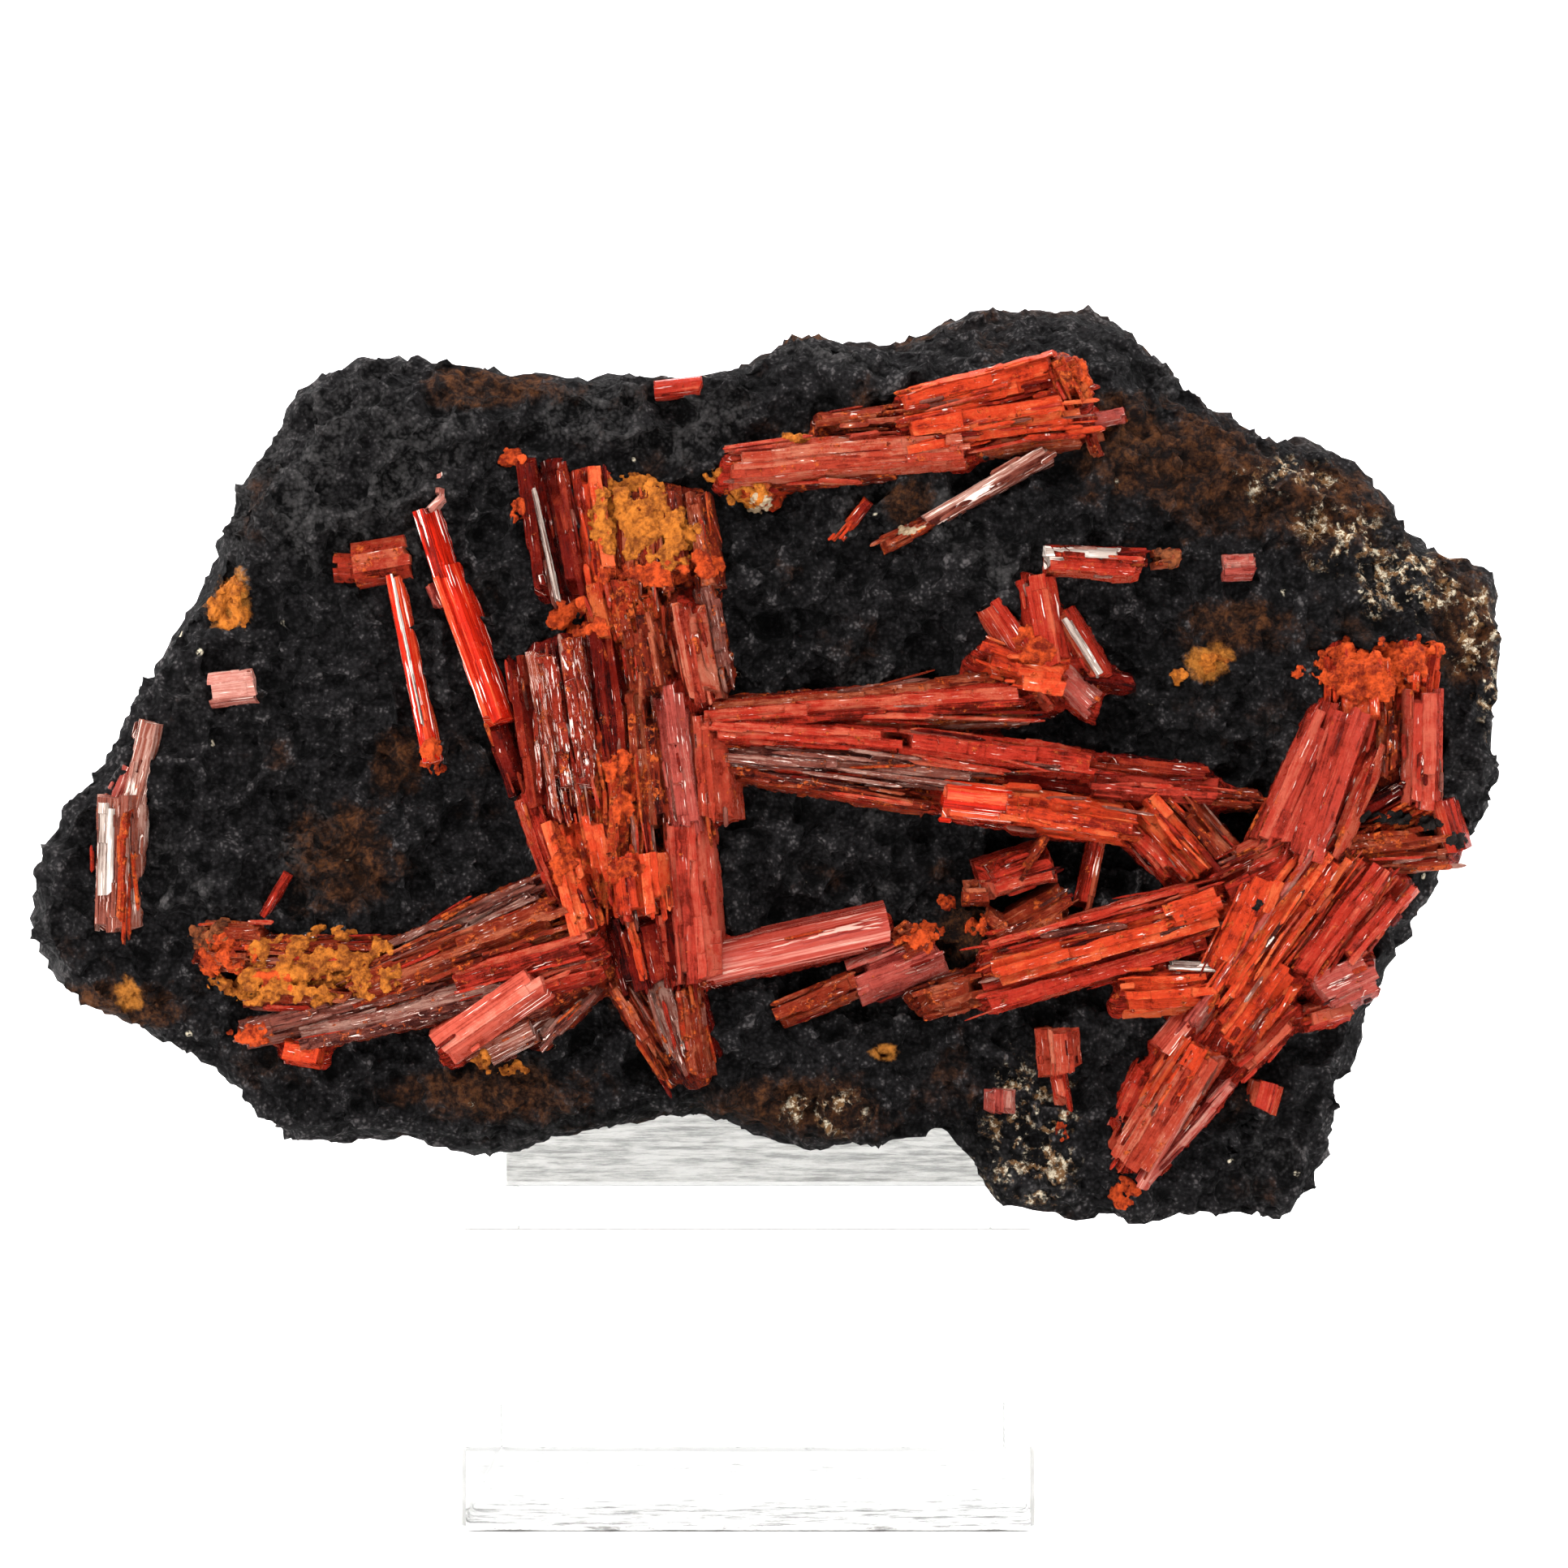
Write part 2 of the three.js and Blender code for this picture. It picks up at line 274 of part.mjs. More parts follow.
  rhomb_cube: [
    ['rhomb', 37.6, 30.7, 37.0, 28.5, 2.4, 2.6, 0.7, 0.7, 0, SLANT, SLANT],
  ],
};

const wasm = await Module();
wasm.setup();
const noise = new ImprovedNoise();

/** Closed three.js geometry to a solid of the boolean library. */
function toSolid(geometry) {
  const bare = geometry.index ? geometry.toNonIndexed() : geometry.clone();
  bare.deleteAttribute('normal');
  bare.deleteAttribute('uv');
  const merged = mergeVertices(bare, 1e-4);
  return new wasm.Manifold(new wasm.Mesh({
    numProp: 3,
    vertProperties: new Float32Array(merged.attributes.position.array),
    triVerts: new Uint32Array(merged.index.array),
  }));
}

/** Solid of the boolean library back to a three.js geometry. */
function toGeometry(solid) {
  const mesh = solid.getMesh();
  const geometry = new THREE.BufferGeometry();
  geometry.setAttribute('position', new THREE.BufferAttribute(mesh.vertProperties, 3));
  geometry.setIndex(new THREE.BufferAttribute(mesh.triVerts, 1));
  geometry.computeVertexNormals();
  return geometry;
}

/** The largest of the separate bodies of a solid. */
function largestBody(solid) {
  const bodies = solid.decompose();
  return bodies.reduce((best, body) => (body.volume() > best.volume() ? body : best));
}

/** L-shaped block in side view, drawn with a margin all round and run along X. */
function standGeometry(margin) {
  const profile = new THREE.Shape();
  profile.moveTo(STAND_FRONT - margin, 0);
  profile.lineTo(STAND_REAR + margin, 0);
  profile.lineTo(STAND_REAR + margin, RISER_HEIGHT + margin);
  profile.lineTo(RISER_FRONT - margin, RISER_HEIGHT + margin);
  profile.lineTo(RISER_FRONT - margin, SEAT_HEIGHT + margin);
  profile.lineTo(STAND_FRONT - margin, SEAT_HEIGHT + margin);
  const width = STAND_WIDTH + 2 * margin;
  const geometry = new THREE.ExtrudeGeometry(profile, { depth: width, bevelEnabled: false });
  const alongX = new THREE.Matrix4().makeBasis(
    new THREE.Vector3(0, 1, 0), new THREE.Vector3(0, 0, 1), new THREE.Vector3(1, 0, 0),
  );
  return geometry.applyMatrix4(alongX).translate(-width / 2, 0, 0);
}

/** Broken, lumpy surface of the matrix: broad lumps, sharp ridges and a coarse grain. */
function roughness(x, y, z) {
  const lumps = noise.noise(x / 9, y / 9, z / 9);
  const ridges = 0.5 - Math.abs(noise.noise(x / 6 + 7, y / 6, z / 6)) * 2;
  const grain = noise.noise(x / 3.2, y / 3.2, z / 3.2);
  return LUMP_HEIGHT * (lumps + 0.35 * ridges + 0.5 * grain);
}

/** Height of the face over FACE_Y at a place on it: roughness and named features. */
function relief(x, z) {
  let height = roughness(x, 0, z);
  for (const [fx, fz, radius, rise] of RELIEF_FEATURES) {
    const distance = Math.hypot(x - fx, z - fz) / radius;
    height += rise * Math.exp(-distance * distance);
  }
  return height;
}

/** Where the ray at an angle from the face's centre meets its edge, with the lip there. */
function edgeAt(angle) {
  const dir = { x: Math.cos(angle), z: Math.sin(angle) };
  for (let i = 0; i < FACE_EDGE.length; i += 1) {
    const a = FACE_EDGE[i];
    const b = FACE_EDGE[(i + 1) % FACE_EDGE.length];
    const ax = a[0] - FACE_CENTRE.x;
    const az = a[1] - FACE_CENTRE.z;
    const ex = b[0] - a[0];
    const ez = b[1] - a[1];
    const det = ex * dir.z - ez * dir.x;
    const along = (az * dir.x - ax * dir.z) / det;
    const radius = (ex * az - ez * ax) / det;
    if (along >= 0 && along < 1 && radius > 0) {
      const mix = (k) => a[k] + (b[k] - a[k]) * along;
      return { radius, lipWidth: mix(2), lipDepth: mix(3), dir };
    }
  }
  throw new Error(`no edge at ${angle}`);
}

/** Angle and part of the way out on a round face, for a place on a square one. */
function squareToRound(across, up) {
  const sideways = Math.abs(across) >= Math.abs(up);
  const reach = Math.max(Math.abs(across), Math.abs(up));
  if (reach === 0) return { angle: 0, reach };
  const quarter = sideways ? (up / across) * (Math.PI / 4) : Math.PI / 2 - (across / up) * (Math.PI / 4);
  const behind = sideways ? across < 0 : up < 0;
  return { angle: quarter + (behind ? Math.PI : 0), reach };
}

/** The matrix: a box whose front is laid over the face and its lip, and rear over the back. */
function matrixGeometry() {
  const geometry = new THREE.BoxGeometry(2, 2, 2, FACE_CELLS, WALL_CELLS, FACE_CELLS);
  const position = geometry.attributes.position;
  for (let i = 0; i < position.count; i += 1) {
    const { angle, reach } = squareToRound(position.getX(i), position.getZ(i));
    const depth = (position.getY(i) + 1) / 2;
    const point = depth < 1e-6 ? facePoint(angle, reach) : bodyPoint(angle, reach, depth);
    position.setXYZ(i, ...point);
  }
  return geometry;
}

/** A place on the face or, past the face's own part of the reach, on its lip. */
function facePoint(angle, reach) {
  const { radius, lipWidth, lipDepth, dir } = edgeAt(angle);
  const facePart = 1 - (2 * LIP_CELLS) / FACE_CELLS;
  const lip = Math.sin(Math.max(0, (reach - facePart) / (1 - facePart)) * (Math.PI / 2));
  const out = (radius - lipWidth) * Math.min(1, reach / facePart) + lipWidth * lip;
  const x = FACE_CENTRE.x + dir.x * out;
  const z = FACE_CENTRE.z + dir.z * out;
  const fall = lipDepth * (1 - Math.sqrt(1 - lip * lip));
  return [x, FACE_Y - relief(x, z) * (1 - 0.6 * lip) + fall, z];
}

/** A place on the wall round the matrix, or on its back. */
function bodyPoint(angle, reach, depth) {
  const { radius, lipDepth, dir } = edgeAt(angle);
  const out = radius * (1 - BACK_TAPER * depth * depth);
  const onBack = depth > 1 - 1e-6;
  const y = THREE.MathUtils.lerp(FACE_Y + lipDepth, BACK_Y, depth);
  const x = FACE_CENTRE.x + dir.x * out;
  const z = FACE_CENTRE.z + dir.z * out;
  const swell = (0.8 + 1.4 * depth) * roughness(x, y, z);
  const lifted = THREE.MathUtils.lerp(z, Math.max(z, UNDERSIDE_Z), Math.min(1, depth * 1.6));
  const wall = [x + dir.x * swell, y, lifted + dir.z * swell];
  if (!onBack) return wall;
  const backX = THREE.MathUtils.lerp(FACE_CENTRE.x, wall[0], reach);
  const backZ = THREE.MathUtils.lerp(FACE_CENTRE.z, wall[2], reach);
  return [backX, BACK_Y + 2 * roughness(backX, BACK_Y, backZ) + 2 * (1 - reach * reach), backZ];
}

/** One crystal: an oblique-ended prism between two places over the face. */
function crystalGeometry([, x1, z1, x2, z2, width, thickness, lift1, lift2, roll, tip1, tip2]) {
  const start = new THREE.Vector3(x1, FACE_Y - lift1, z1);
  const end = new THREE.Vector3(x2, FACE_Y - lift2, z2);
  const length = start.distanceTo(end);
  const pointed = tip1.length + tip2.length > 0;
  const rings = pointed ? 3 : 1;
  const stations = pointed
    ? [[0, tip1.end], [tip1.length * width, 1], [length - tip2.length * width, 1], [length, tip2.end]]
    : [[0, 1], [length, 1]];
  const section = new THREE.Shape(SECTION.map(([across, out]) => new THREE.Vector2(across, out)));
  const geometry = new THREE.ExtrudeGeometry(section, { depth: 1, steps: rings, bevelEnabled: false });
  const position = geometry.attributes.position;
  for (let i = 0; i < position.count; i += 1) {
    const ring = Math.round(position.getZ(i) * rings);
    const [along, scale] = stations[ring];
    const across = position.getX(i) * width * scale;
    const slant = ring * 2 > rings ? tip2.slant : -tip1.slant;
    const root = position.getY(i) > 0.4 ? ROOT_DEPTH : 0;
    position.setXYZ(i, across, position.getY(i) * thickness * scale + root, along + across * slant);
  }
  const axis = end.clone().sub(start).normalize();
  const side = new THREE.Vector3().crossVectors(axis, new THREE.Vector3(0, -1, 0)).normalize();
  const out = new THREE.Vector3().crossVectors(axis, side);
  const frame = new THREE.Matrix4().makeBasis(side, out, axis);
  const turn = new THREE.Matrix4().makeRotationZ(THREE.MathUtils.degToRad(roll));
  return geometry.applyMatrix4(frame.multiply(turn)).translate(start.x, start.y, start.z);
}

/** All crystals of one growth joined, and cut clear of the solids they lie against. */
function growthSolid(crystals, obstacles) {
  const joined = crystals
    .map((crystal) => toSolid(crystalGeometry(crystal)))
    .reduce((growth, crystal) => growth.add(crystal));
  const near = obstacles.filter((obstacle) => boxesMeet(joined, obstacle));
  const cut = near.reduce((growth, obstacle) => growth.subtract(obstacle), joined);
  return largestBody(cut.asOriginal().simplify(FACET));
}

/** A solid swept by the contact gap: out over the face, up, down and to each side. */
function withGap(solid) {
  const moves = [[0, -1, 0], [1, 0, 0], [-1, 0, 0], [0, 0, 1], [0, 0, -1]];
  return moves
    .map((move) => solid.translate(move.map((part) => part * CONTACT_GAP)))
    .reduce((swept, moved) => swept.add(moved));
}

/** Whether the boxes round two solids meet. */
function boxesMeet(a, b) {
  const [boxA, boxB] = [a.boundingBox(), b.boundingBox()];
  return [0, 1, 2].every((k) => boxA.min[k] <= boxB.max[k] && boxB.min[k] <= boxA.max[k]);
}

function namedMesh(name, geometry, finish) {
  const mesh = new THREE.Mesh(geometry, new THREE.MeshStandardMaterial(finish));
  mesh.name = name;
  return mesh;
}

/** A large block that lies outside a break plane. */
function breakBlock([point, normal]) {
  const size = 200;
  const block = new THREE.BoxGeometry(size, size, size).translate(0, 0, size / 2);
  const outward = new THREE.Vector3(...normal).normalize();
  const turn = new THREE.Quaternion().setFromUnitVectors(new THREE.Vector3(0, 0, 1), outward);
  return toSolid(block.applyQuaternion(turn).translate(...point));
}

const standClearance = toSolid(standGeometry(CONTACT_GAP));
const matrix = largestBody(BREAKS.map(breakBlock).reduce(
  (solid, block) => solid.subtract(block),
  toSolid(matrixGeometry()).subtract(standClearance),
).simplify(FACET));

const specimen = new THREE.Group();
specimen.add(namedMesh('acrylic_stand', standGeometry(0), ACRYLIC));
specimen.add(namedMesh('goethite_matrix', toGeometry(matrix), GOETHITE));

const obstacles = [withGap(matrix)];
for (const [name, crystals] of Object.entries(GROWTHS)) {
  const growth = growthSolid(crystals, obstacles);
  specimen.add(namedMesh(name, toGeometry(growth), CROCOITE));
  obstacles.push(withGap(growth));
}

export default specimen;
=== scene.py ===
"""Crocoite on goethite: the surface and finish of every piece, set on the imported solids.

A dark, crumbly slab of goethite carries sprays and single prisms of red crocoite, and
stands on a stepped block of clear acrylic. Lengths in the classes are millimetres and
become metres in the meshes; the slab's crystal-bearing face looks along -Y.
"""

import logging
import math
import random
from collections.abc import Callable
from dataclasses import dataclass, field
from enum import Enum

import bpy
import numpy as np
from mathutils import Matrix, Vector, noise
from mathutils.bvhtree import BVHTree


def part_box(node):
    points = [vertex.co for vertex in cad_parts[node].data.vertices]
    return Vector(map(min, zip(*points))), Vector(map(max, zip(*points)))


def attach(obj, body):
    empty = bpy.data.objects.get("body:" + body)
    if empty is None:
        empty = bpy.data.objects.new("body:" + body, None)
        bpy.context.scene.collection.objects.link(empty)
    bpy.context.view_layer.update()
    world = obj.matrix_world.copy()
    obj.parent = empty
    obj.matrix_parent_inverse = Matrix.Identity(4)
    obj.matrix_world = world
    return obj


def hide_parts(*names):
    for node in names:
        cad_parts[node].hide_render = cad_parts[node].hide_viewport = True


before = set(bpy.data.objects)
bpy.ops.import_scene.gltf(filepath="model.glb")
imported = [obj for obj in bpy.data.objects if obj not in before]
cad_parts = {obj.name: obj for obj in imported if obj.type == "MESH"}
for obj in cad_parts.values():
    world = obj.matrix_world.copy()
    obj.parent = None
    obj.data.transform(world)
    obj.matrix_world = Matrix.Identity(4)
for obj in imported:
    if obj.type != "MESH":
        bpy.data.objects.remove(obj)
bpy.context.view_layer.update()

LOG = logging.getLogger("crocoite")
BODY = "root"
MM = 0.001
FACE_Y = -17.0          # mean plane of the slab's crystal-bearing face
WELD = 1e-6             # corners nearer than this many metres are one
FACING = 0.9            # least cosine of a face that counts as looking one way

Triple = tuple[float, float, float]
Colour = Triple
Socket = bpy.types.NodeSocket
Value = Socket | Colour | float


def deselect_all() -> None:
    """Leaves edit mode and deselects every object."""
    if bpy.context.object and bpy.context.object.mode != "OBJECT":
        bpy.ops.object.mode_set(mode="OBJECT")
    bpy.ops.object.select_all(action="DESELECT")


def activate(piece: bpy.types.Object) -> None:
    """Selects one object alone and makes it the active one."""
    deselect_all()
    piece.select_set(True)
    bpy.context.view_layer.objects.active = piece


def newest(name: str) -> bpy.types.Object:
    """Names the object that the last primitive operator added, and returns it."""
    piece = bpy.context.object
    piece.name = piece.data.name = name
    return piece


def settle(piece: bpy.types.Object) -> None:
    """Moves an object's place, turn and scale into its mesh."""
    activate(piece)
    bpy.ops.object.transform_apply(location=True, rotation=True, scale=True)


def apply_modifiers(piece: bpy.types.Object) -> None:
    """Applies every modifier of an object, in order."""
    activate(piece)
    for modifier in list(piece.modifiers):
        bpy.ops.object.modifier_apply(modifier=modifier.name)


def join(pieces: list[bpy.types.Object], name: str) -> bpy.types.Object:
    """Joins mesh objects into one.

    Args:
        pieces: The objects; the first is the one that stays.
        name: The joined object's name.

    Returns:
        The joined object.
    """
    deselect_all()
    for piece in pieces:
        piece.select_set(True)
    bpy.context.view_layer.objects.active = pieces[0]
    bpy.ops.object.join()
    return newest(name)


def link_mesh(mesh: bpy.types.Mesh, name: str) -> bpy.types.Object:
    """Puts a mesh into the scene as an object at the origin."""
    piece = bpy.data.objects.new(name, mesh)
    bpy.context.scene.collection.objects.link(piece)
    return piece


def select_faces(piece: bpy.types.Object, wanted: Callable[[bpy.types.MeshPolygon], bool]) -> None:
    """Selects the faces that a test accepts, in object mode, and no other element.

    Args:
        piece: The mesh object.
        wanted: A function from a polygon to whether it is wanted.
    """
    mesh = piece.data
    for part in (mesh.vertices, mesh.edges, mesh.polygons):
        part.foreach_set("select", [False] * len(part))
    for polygon in mesh.polygons:
        polygon.select = wanted(polygon)


def add_remesh(piece: bpy.types.Object, voxel: float) -> None:
    """Adds a voxel remesh whose voxels are this many millimetres across."""
    remesh = piece.modifiers.new("remesh", "REMESH")
    remesh.mode = "VOXEL"
    remesh.voxel_size = voxel * MM


def packed_copy(node: str, name: str) -> bpy.types.Object:
    """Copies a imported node's solid, bare of materials and with its corners welded.

    Args:
        node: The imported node.
        name: The copy's name.

    Returns:
        The copy.
    """
    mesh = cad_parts[node].data.copy()
    mesh.materials.clear()
    piece = link_mesh(mesh, name)
    activate(piece)
    bpy.ops.object.mode_set(mode="EDIT")
    bpy.ops.mesh.select_all(action="SELECT")
    bpy.ops.mesh.remove_doubles(threshold=WELD)
    bpy.ops.object.mode_set(mode="OBJECT")
    return piece


def read(items: bpy.types.bpy_prop_collection, name: str, width: int = 1,
         kind: type = np.float64) -> np.ndarray:
    """Reads one property of a mesh's elements.

    Args:
        items: The mesh's vertices, edges, loops or polygons.
        name: The property.
        width: How many numbers it holds.
        kind: Their type.

    Returns:
        The numbers, a row for each element where it holds more than one.
    """
    values = np.empty(len(items) * width, dtype=kind)
    items.foreach_get(name, values)
    return values.reshape(-1, width) if width > 1 else values


def store(mesh: bpy.types.Mesh, name: str, values: np.ndarray) -> None:
    """Stores one number for each vertex as an attribute."""
    mesh.attributes.new(name, "FLOAT", "POINT").data.foreach_set("value", values.astype(np.float32))


def store_grain(mesh: bpy.types.Mesh, grain: np.ndarray) -> None:
    """Stores the map of a mesh's grain, across and along it in millimetres for each corner."""
    mesh.uv_layers.new(name="Grain").data.foreach_set("uv", grain.ravel().astype(np.float32))


@dataclass(frozen=True)
class Relief:
    """One layer of roughness: a procedural texture pushed along the normals.

    size is the texture's and depth the push's, level the height that stays put, and
    on_face marks a layer that is strongest on the crystal-bearing face.
    """

    name: str
    kind: str
    size: float
    depth: float
    level: float = 0.5
    on_face: bool = False
    settings: tuple[tuple[str, object], ...] = ()

    def add(self, piece: bpy.types.Object, group: str = "") -> None:
        """Adds the layer to a piece.

        Args:
            piece: The mesh object.
            group: The vertex group that says how strong it is, or none for full strength.
        """
        texture = bpy.data.textures.new(self.name, self.kind)
        texture.noise_scale = self.size * MM
        for key, value in self.settings:
            setattr(texture, key, value)
        layer = piece.modifiers.new(self.name, "DISPLACE")
        layer.texture = texture
        layer.texture_coords = "LOCAL"
        layer.strength = self.depth * MM
        layer.mid_level = self.level
        layer.vertex_group = group


class NodeTree:
    """A material's node tree, built by short calls."""

    mix_inputs = (6, 7)     # the two colours among a Mix node's inputs
    mix_output = 2          # the mixed colour among its outputs

    def __init__(self, name: str) -> None:
        """Makes an empty node material called name."""
        self.material = bpy.data.materials.new(name)
        self.material.use_nodes = True
        self.tree = self.material.node_tree
        self.tree.nodes.clear()

    def node(self, kind: str, inputs: dict | None = None, **settings) -> bpy.types.Node:
        """Adds a node.

        Args:
            kind: The node's type, without the leading ShaderNode.
            inputs: Input name or number to a value or to the socket that feeds it.
            **settings: Properties of the node itself.

        Returns:
            The node.
        """
        node = self.tree.nodes.new("ShaderNode" + kind)
        for key, value in settings.items():
            setattr(node, key, value)
        for key, value in (inputs or {}).items():
            self.feed(node.inputs[key], value)
        return node

    def feed(self, socket: Socket, value: Value) -> None:
        """Gives a socket a fixed value, or links another node's socket to it."""
        if isinstance(value, Socket):
            self.tree.links.new(value, socket)
        elif isinstance(value, tuple) and socket.type == "RGBA":
            socket.default_value = (*value, 1.0)
        else:
            socket.default_value = value

    def math(self, operation: str, *values: Value) -> Socket:
        """Adds a Math node and returns its output."""
        return self.node("Math", dict(enumerate(values)), operation=operation).outputs[0]

    def scaled(self, vector: Socket, scale: Triple, offset: Triple = (0, 0, 0)) -> Socket:
        """Scales and then shifts a vector by a Mapping node."""
        return self.node("Mapping", {"Vector": vector, "Scale": scale, "Location": offset}).outputs[0]

    def object_mm(self) -> Socket:
        """Object coordinates in millimetres."""
        coordinates = self.node("TexCoord").outputs["Object"]
        return self.scaled(coordinates, (1 / MM, 1 / MM, 1 / MM))

    def noise(self, vector: Socket, size: float, detail: float = 4.0, roughness: float = 0.55) -> Socket:
        """Noise whose broadest lumps are about size across."""
        inputs = {"Vector": vector, "Scale": 1 / size, "Detail": detail, "Roughness": roughness}
        return self.node("TexNoise", inputs).outputs["Fac"]

    def cells(self, vector: Socket, size: float, feature: str = "F1") -> Socket:
        """Distance to the nearest of random points about size apart."""
        inputs = {"Vector": vector, "Scale": 1 / size}
        return self.node("TexVoronoi", inputs, feature=feature).outputs["Distance"]

    def ramp(self, value: Socket, low: float, high: float) -> Socket:
        """A value brought smoothly from low..high to 0..1."""
        inputs = {"Value": value, "From Min": low, "From Max": high}
        return self.node("MapRange", inputs, interpolation_type="SMOOTHSTEP").outputs["Result"]

    def mix(self, share: Value, first: Value, second: Value) -> Socket:
        """Mixes two colours and returns the result."""
        node = self.node("Mix", data_type="RGBA")
        self.feed(node.inputs["Factor"], share)
        for number, colour in zip(self.mix_inputs, (first, second)):
            self.feed(node.inputs[number], colour)
        return node.outputs[self.mix_output]

    def bump(self, height: Socket, depth: float, normal: Socket | None = None) -> Socket:
        """Turns a 0..1 height into a normal, depth being in millimetres."""
        inputs = {"Height": height, "Distance": depth * MM, "Strength": 1.0}
        if normal is not None:
            inputs["Normal"] = normal
        return self.node("Bump", inputs).outputs["Normal"]

    def finish(self, shader: bpy.types.Node) -> bpy.types.Material:
        """Connects the shader to the output and returns the material."""
        output = self.node("OutputMaterial")
        self.tree.links.new(shader.outputs[0], output.inputs["Surface"])
        return self.material


class Stain(Enum):
    """What colours a patch of the slab."""

    RUST = "rust"
    OCHRE = "ochre"
    CREAM = "cream"
    POLISH = "polish"
    DUST = "dust"


@dataclass(frozen=True)
class Patch:
    """A stained place on the slab's face: centre and half sizes in X and Z."""

    x: float
    z: float
    half_x: float
    half_z: float
    stain: Stain
    y: float = FACE_Y
    half_y: float = 9.0


PATCHES: tuple[Patch, ...] = (
    Patch(32.0, 75.8, 8.0, 4.1, Stain.RUST),
    Patch(35.6, 63.9, 4.4, 1.9, Stain.RUST),
    Patch(-29.6, 46.8, 3.6, 3.4, Stain.RUST),
    Patch(-26.3, 53.9, 1.6, 2.4, Stain.RUST),
    Patch(-18.3, 81.6, 5.5, 1.6, Stain.RUST),
    Patch(-19.0, 30.0, 6.5, 2.0, Stain.RUST),
    Patch(11.6, 72.6, 1.6, 1.6, Stain.RUST),
    Patch(16.2, 41.5, 2.6, 2.2, Stain.RUST),
    Patch(4.2, 28.6, 6.0, 2.2, Stain.RUST),
    Patch(-38.2, 65.7, 1.7, 2.0, Stain.OCHRE),
    Patch(33.8, 61.5, 1.5, 1.1, Stain.OCHRE),
    Patch(-45.2, 37.0, 0.9, 1.2, Stain.OCHRE),
    Patch(10.0, 32.8, 0.9, 0.6, Stain.OCHRE),
    Patch(28.0, 78.4, 2.6, 2.4, Stain.RUST),
    Patch(-46.0, 36.2, 4.8, 1.6, Stain.RUST),
    Patch(5.0, 86.0, 4.5, 1.8, Stain.RUST, 4.0, 11.0),
    Patch(17.0, 87.2, 6.5, 1.8, Stain.RUST, 4.0, 11.0),
    Patch(29.0, 85.0, 3.6, 2.6, Stain.RUST, 4.0, 11.0),
    Patch(43.0, 73.0, 6.5, 3.2, Stain.RUST),
    Patch(52.5, 64.5, 3.0, 4.5, Stain.RUST),
    Patch(40.0, 75.0, 3.6, 1.8, Stain.CREAM),
    Patch(43.8, 71.0, 4.0, 2.4, Stain.CREAM),
    Patch(48.5, 67.0, 4.2, 2.4, Stain.CREAM),
    Patch(53.3, 64.0, 2.2, 3.4, Stain.CREAM),
    Patch(54.2, 59.5, 1.2, 3.2, Stain.CREAM),
    Patch(20.4, 26.4, 3.4, 4.6, Stain.CREAM),
    Patch(5.5, 28.3, 3.4, 1.4, Stain.CREAM),
    Patch(30.0, 55.4, 7.7, 5.0, Stain.POLISH),
    # Patches where the slab is lighter grey, at the upper left and top.
    Patch(-31.0, 75.0, 11.0, 8.0, Stain.DUST),
    Patch(-8.0, 79.0, 9.0, 3.0, Stain.DUST),
)


